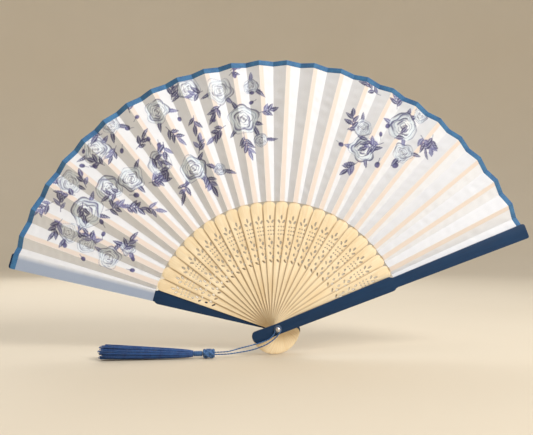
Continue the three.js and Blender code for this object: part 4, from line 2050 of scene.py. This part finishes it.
@dataclass
class Stage:
    """Camera, lights and floor."""

    azimuth: float = -4.48
    elevation: float = -3.14
    roll: float = 0.14
    distance: float = 412.8
    focal: float = 581.8
    picture: tuple[int, int] = (533, 435)
    target: Point = (-6.72, 0.0, 77.24)
    sensor: float = 36.0
    floor_radius: float = 1.4
    cove: float = 0.9
    wall: float = 0.5
    sky: tuple = (0.9, 0.92, 0.95, 1)
    sky_strength: float = 0.31

    def camera(self) -> None:
        """Places the camera in front of the fan."""
        a, e, r = (math.radians(x) for x in (self.azimuth, self.elevation, self.roll))
        back = Vector((math.sin(a) * math.cos(e), -math.cos(a) * math.cos(e), math.sin(e)))
        right = Vector((math.cos(a), math.sin(a), 0))
        up = back.cross(right)
        turned = right * math.cos(r) - up * math.sin(r)
        upright = right * math.sin(r) + up * math.cos(r)
        place = (Vector(self.target) + back * self.distance) * MM
        data = bpy.data.cameras.new("camera")
        data.sensor_width = self.sensor
        data.lens = self.focal / self.picture[0] * self.sensor
        data.clip_start, data.clip_end = 0.01, 30
        obj = bpy.data.objects.new("camera", data)
        bpy.context.collection.objects.link(obj)
        rows = Matrix((turned, upright, back)).transposed().to_4x4()
        obj.matrix_world = Matrix.Translation(place) @ rows
        bpy.context.scene.camera = obj

    def lamp(self, name: str, place: Point, size: float, power: float, colour: Point) -> None:
        """One soft square lamp that looks at the fan.

        Args:
            name: the lamp's name.
            place: where it is, in metres.
            size: its width in metres.
            power: its power in watts.
            colour: its red, green and blue.
        """
        data = bpy.data.lights.new(name, "AREA")
        data.size, data.energy, data.color = size, power, colour
        obj = bpy.data.objects.new(name, data)
        bpy.context.collection.objects.link(obj)
        away = Vector(place) - Vector((0, 0, 0.07))
        obj.matrix_world = Matrix.Translation(place) @ away.to_track_quat("Z", "Y").to_matrix().to_4x4()

    def ground(self, floor: bpy.types.Material, height: float) -> None:
        """Makes a round floor that curves up into a low wall, all in one sheet.

        Args:
            floor: the floor's material.
            height: the floor's height in metres.
        """
        bpy.ops.object.select_all(action="DESELECT")
        bpy.ops.mesh.primitive_circle_add(
            vertices=96, radius=self.floor_radius, fill_type="NGON", location=(0, 0, height)
        )
        obj = new_piece("floor")
        settle(obj)
        radius, low = self.floor_radius, 0.0
        with editing(obj, "EDGE"):
            choose(obj, lambda p: np.hypot(p[:, 0], p[:, 1]) > self.floor_radius - 0.1)
            for turn in np.radians(range(10, 91, 10)):
                wide = self.floor_radius + self.cove * math.sin(turn)
                high = self.cove * (1 - math.cos(turn))
                bpy.ops.mesh.extrude_edges_move(TRANSFORM_OT_translate={"value": (0, 0, high - low)})
                bpy.ops.transform.resize(
                    value=(wide / radius, wide / radius, 1), center_override=(0, 0, height + high)
                )
                radius, low = wide, high
            bpy.ops.mesh.extrude_edges_move(TRANSFORM_OT_translate={"value": (0, 0, self.wall)})
        soften(obj, 60)
        obj.data.materials.append(floor)
        obj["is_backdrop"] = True

    def build(self, floor: bpy.types.Material, height: float) -> None:
        """Sets the floor, lamps and sky.

        Args:
            floor: the floor's material.
            height: the floor's height in metres.
        """
        self.ground(floor, height)
        self.lamp("key", (0.62, -0.7, 0.68), 0.4, 9.3, (1.0, 0.985, 0.96))
        self.lamp("rear", (-0.3, 0.9, 0.8), 1.0, 6, (1.0, 1.0, 1.0))
        self.lamp("ceiling", (0, 0.1, 2.3), 3.0, 21, (1.0, 0.99, 0.97))
        bpy.context.scene.view_settings.view_transform = "Standard"
        world = bpy.data.worlds.new("sky")
        world.use_nodes = True
        world.node_tree.nodes["Background"].inputs[0].default_value = self.sky
        world.node_tree.nodes["Background"].inputs[1].default_value = self.sky_strength
        bpy.context.scene.world = world


def main() -> None:
    """Builds the fan on its frame."""
    logging.basicConfig(level=logging.INFO, format="%(name)s: %(message)s")
    lay = Layout()
    stage = Stage()
    stage.camera()
    cord = ThreadFinish("blue_cord", tint(74, 122, 178), tint(26, 60, 112), 5200)
    thread = ThreadFinish("blue_thread", tint(44, 98, 168), tint(14, 44, 100))
    Tassel(lay).build(cord.material(), thread.material())
    ribs = Ribs(lay)
    ribs.build(BambooFinish().material())
    Guards(lay).build(LacquerFinish().material())
    Leaf(lay).build(SilkFinish().material(), RibbonFinish().material(), ribs)
    steel = MetalFinish("rivet_steel", tint(226, 222, 220), tint(170, 168, 170), 0.16)
    dull = MetalFinish("washer_steel", tint(96, 110, 132), tint(58, 70, 92), 0.35)
    Rivet(lay).build(steel.material(), dull.material())
    stage.build(FloorFinish().material(), float(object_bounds()[0].z) - 0.0001)


if __name__ == "__main__":
    main()
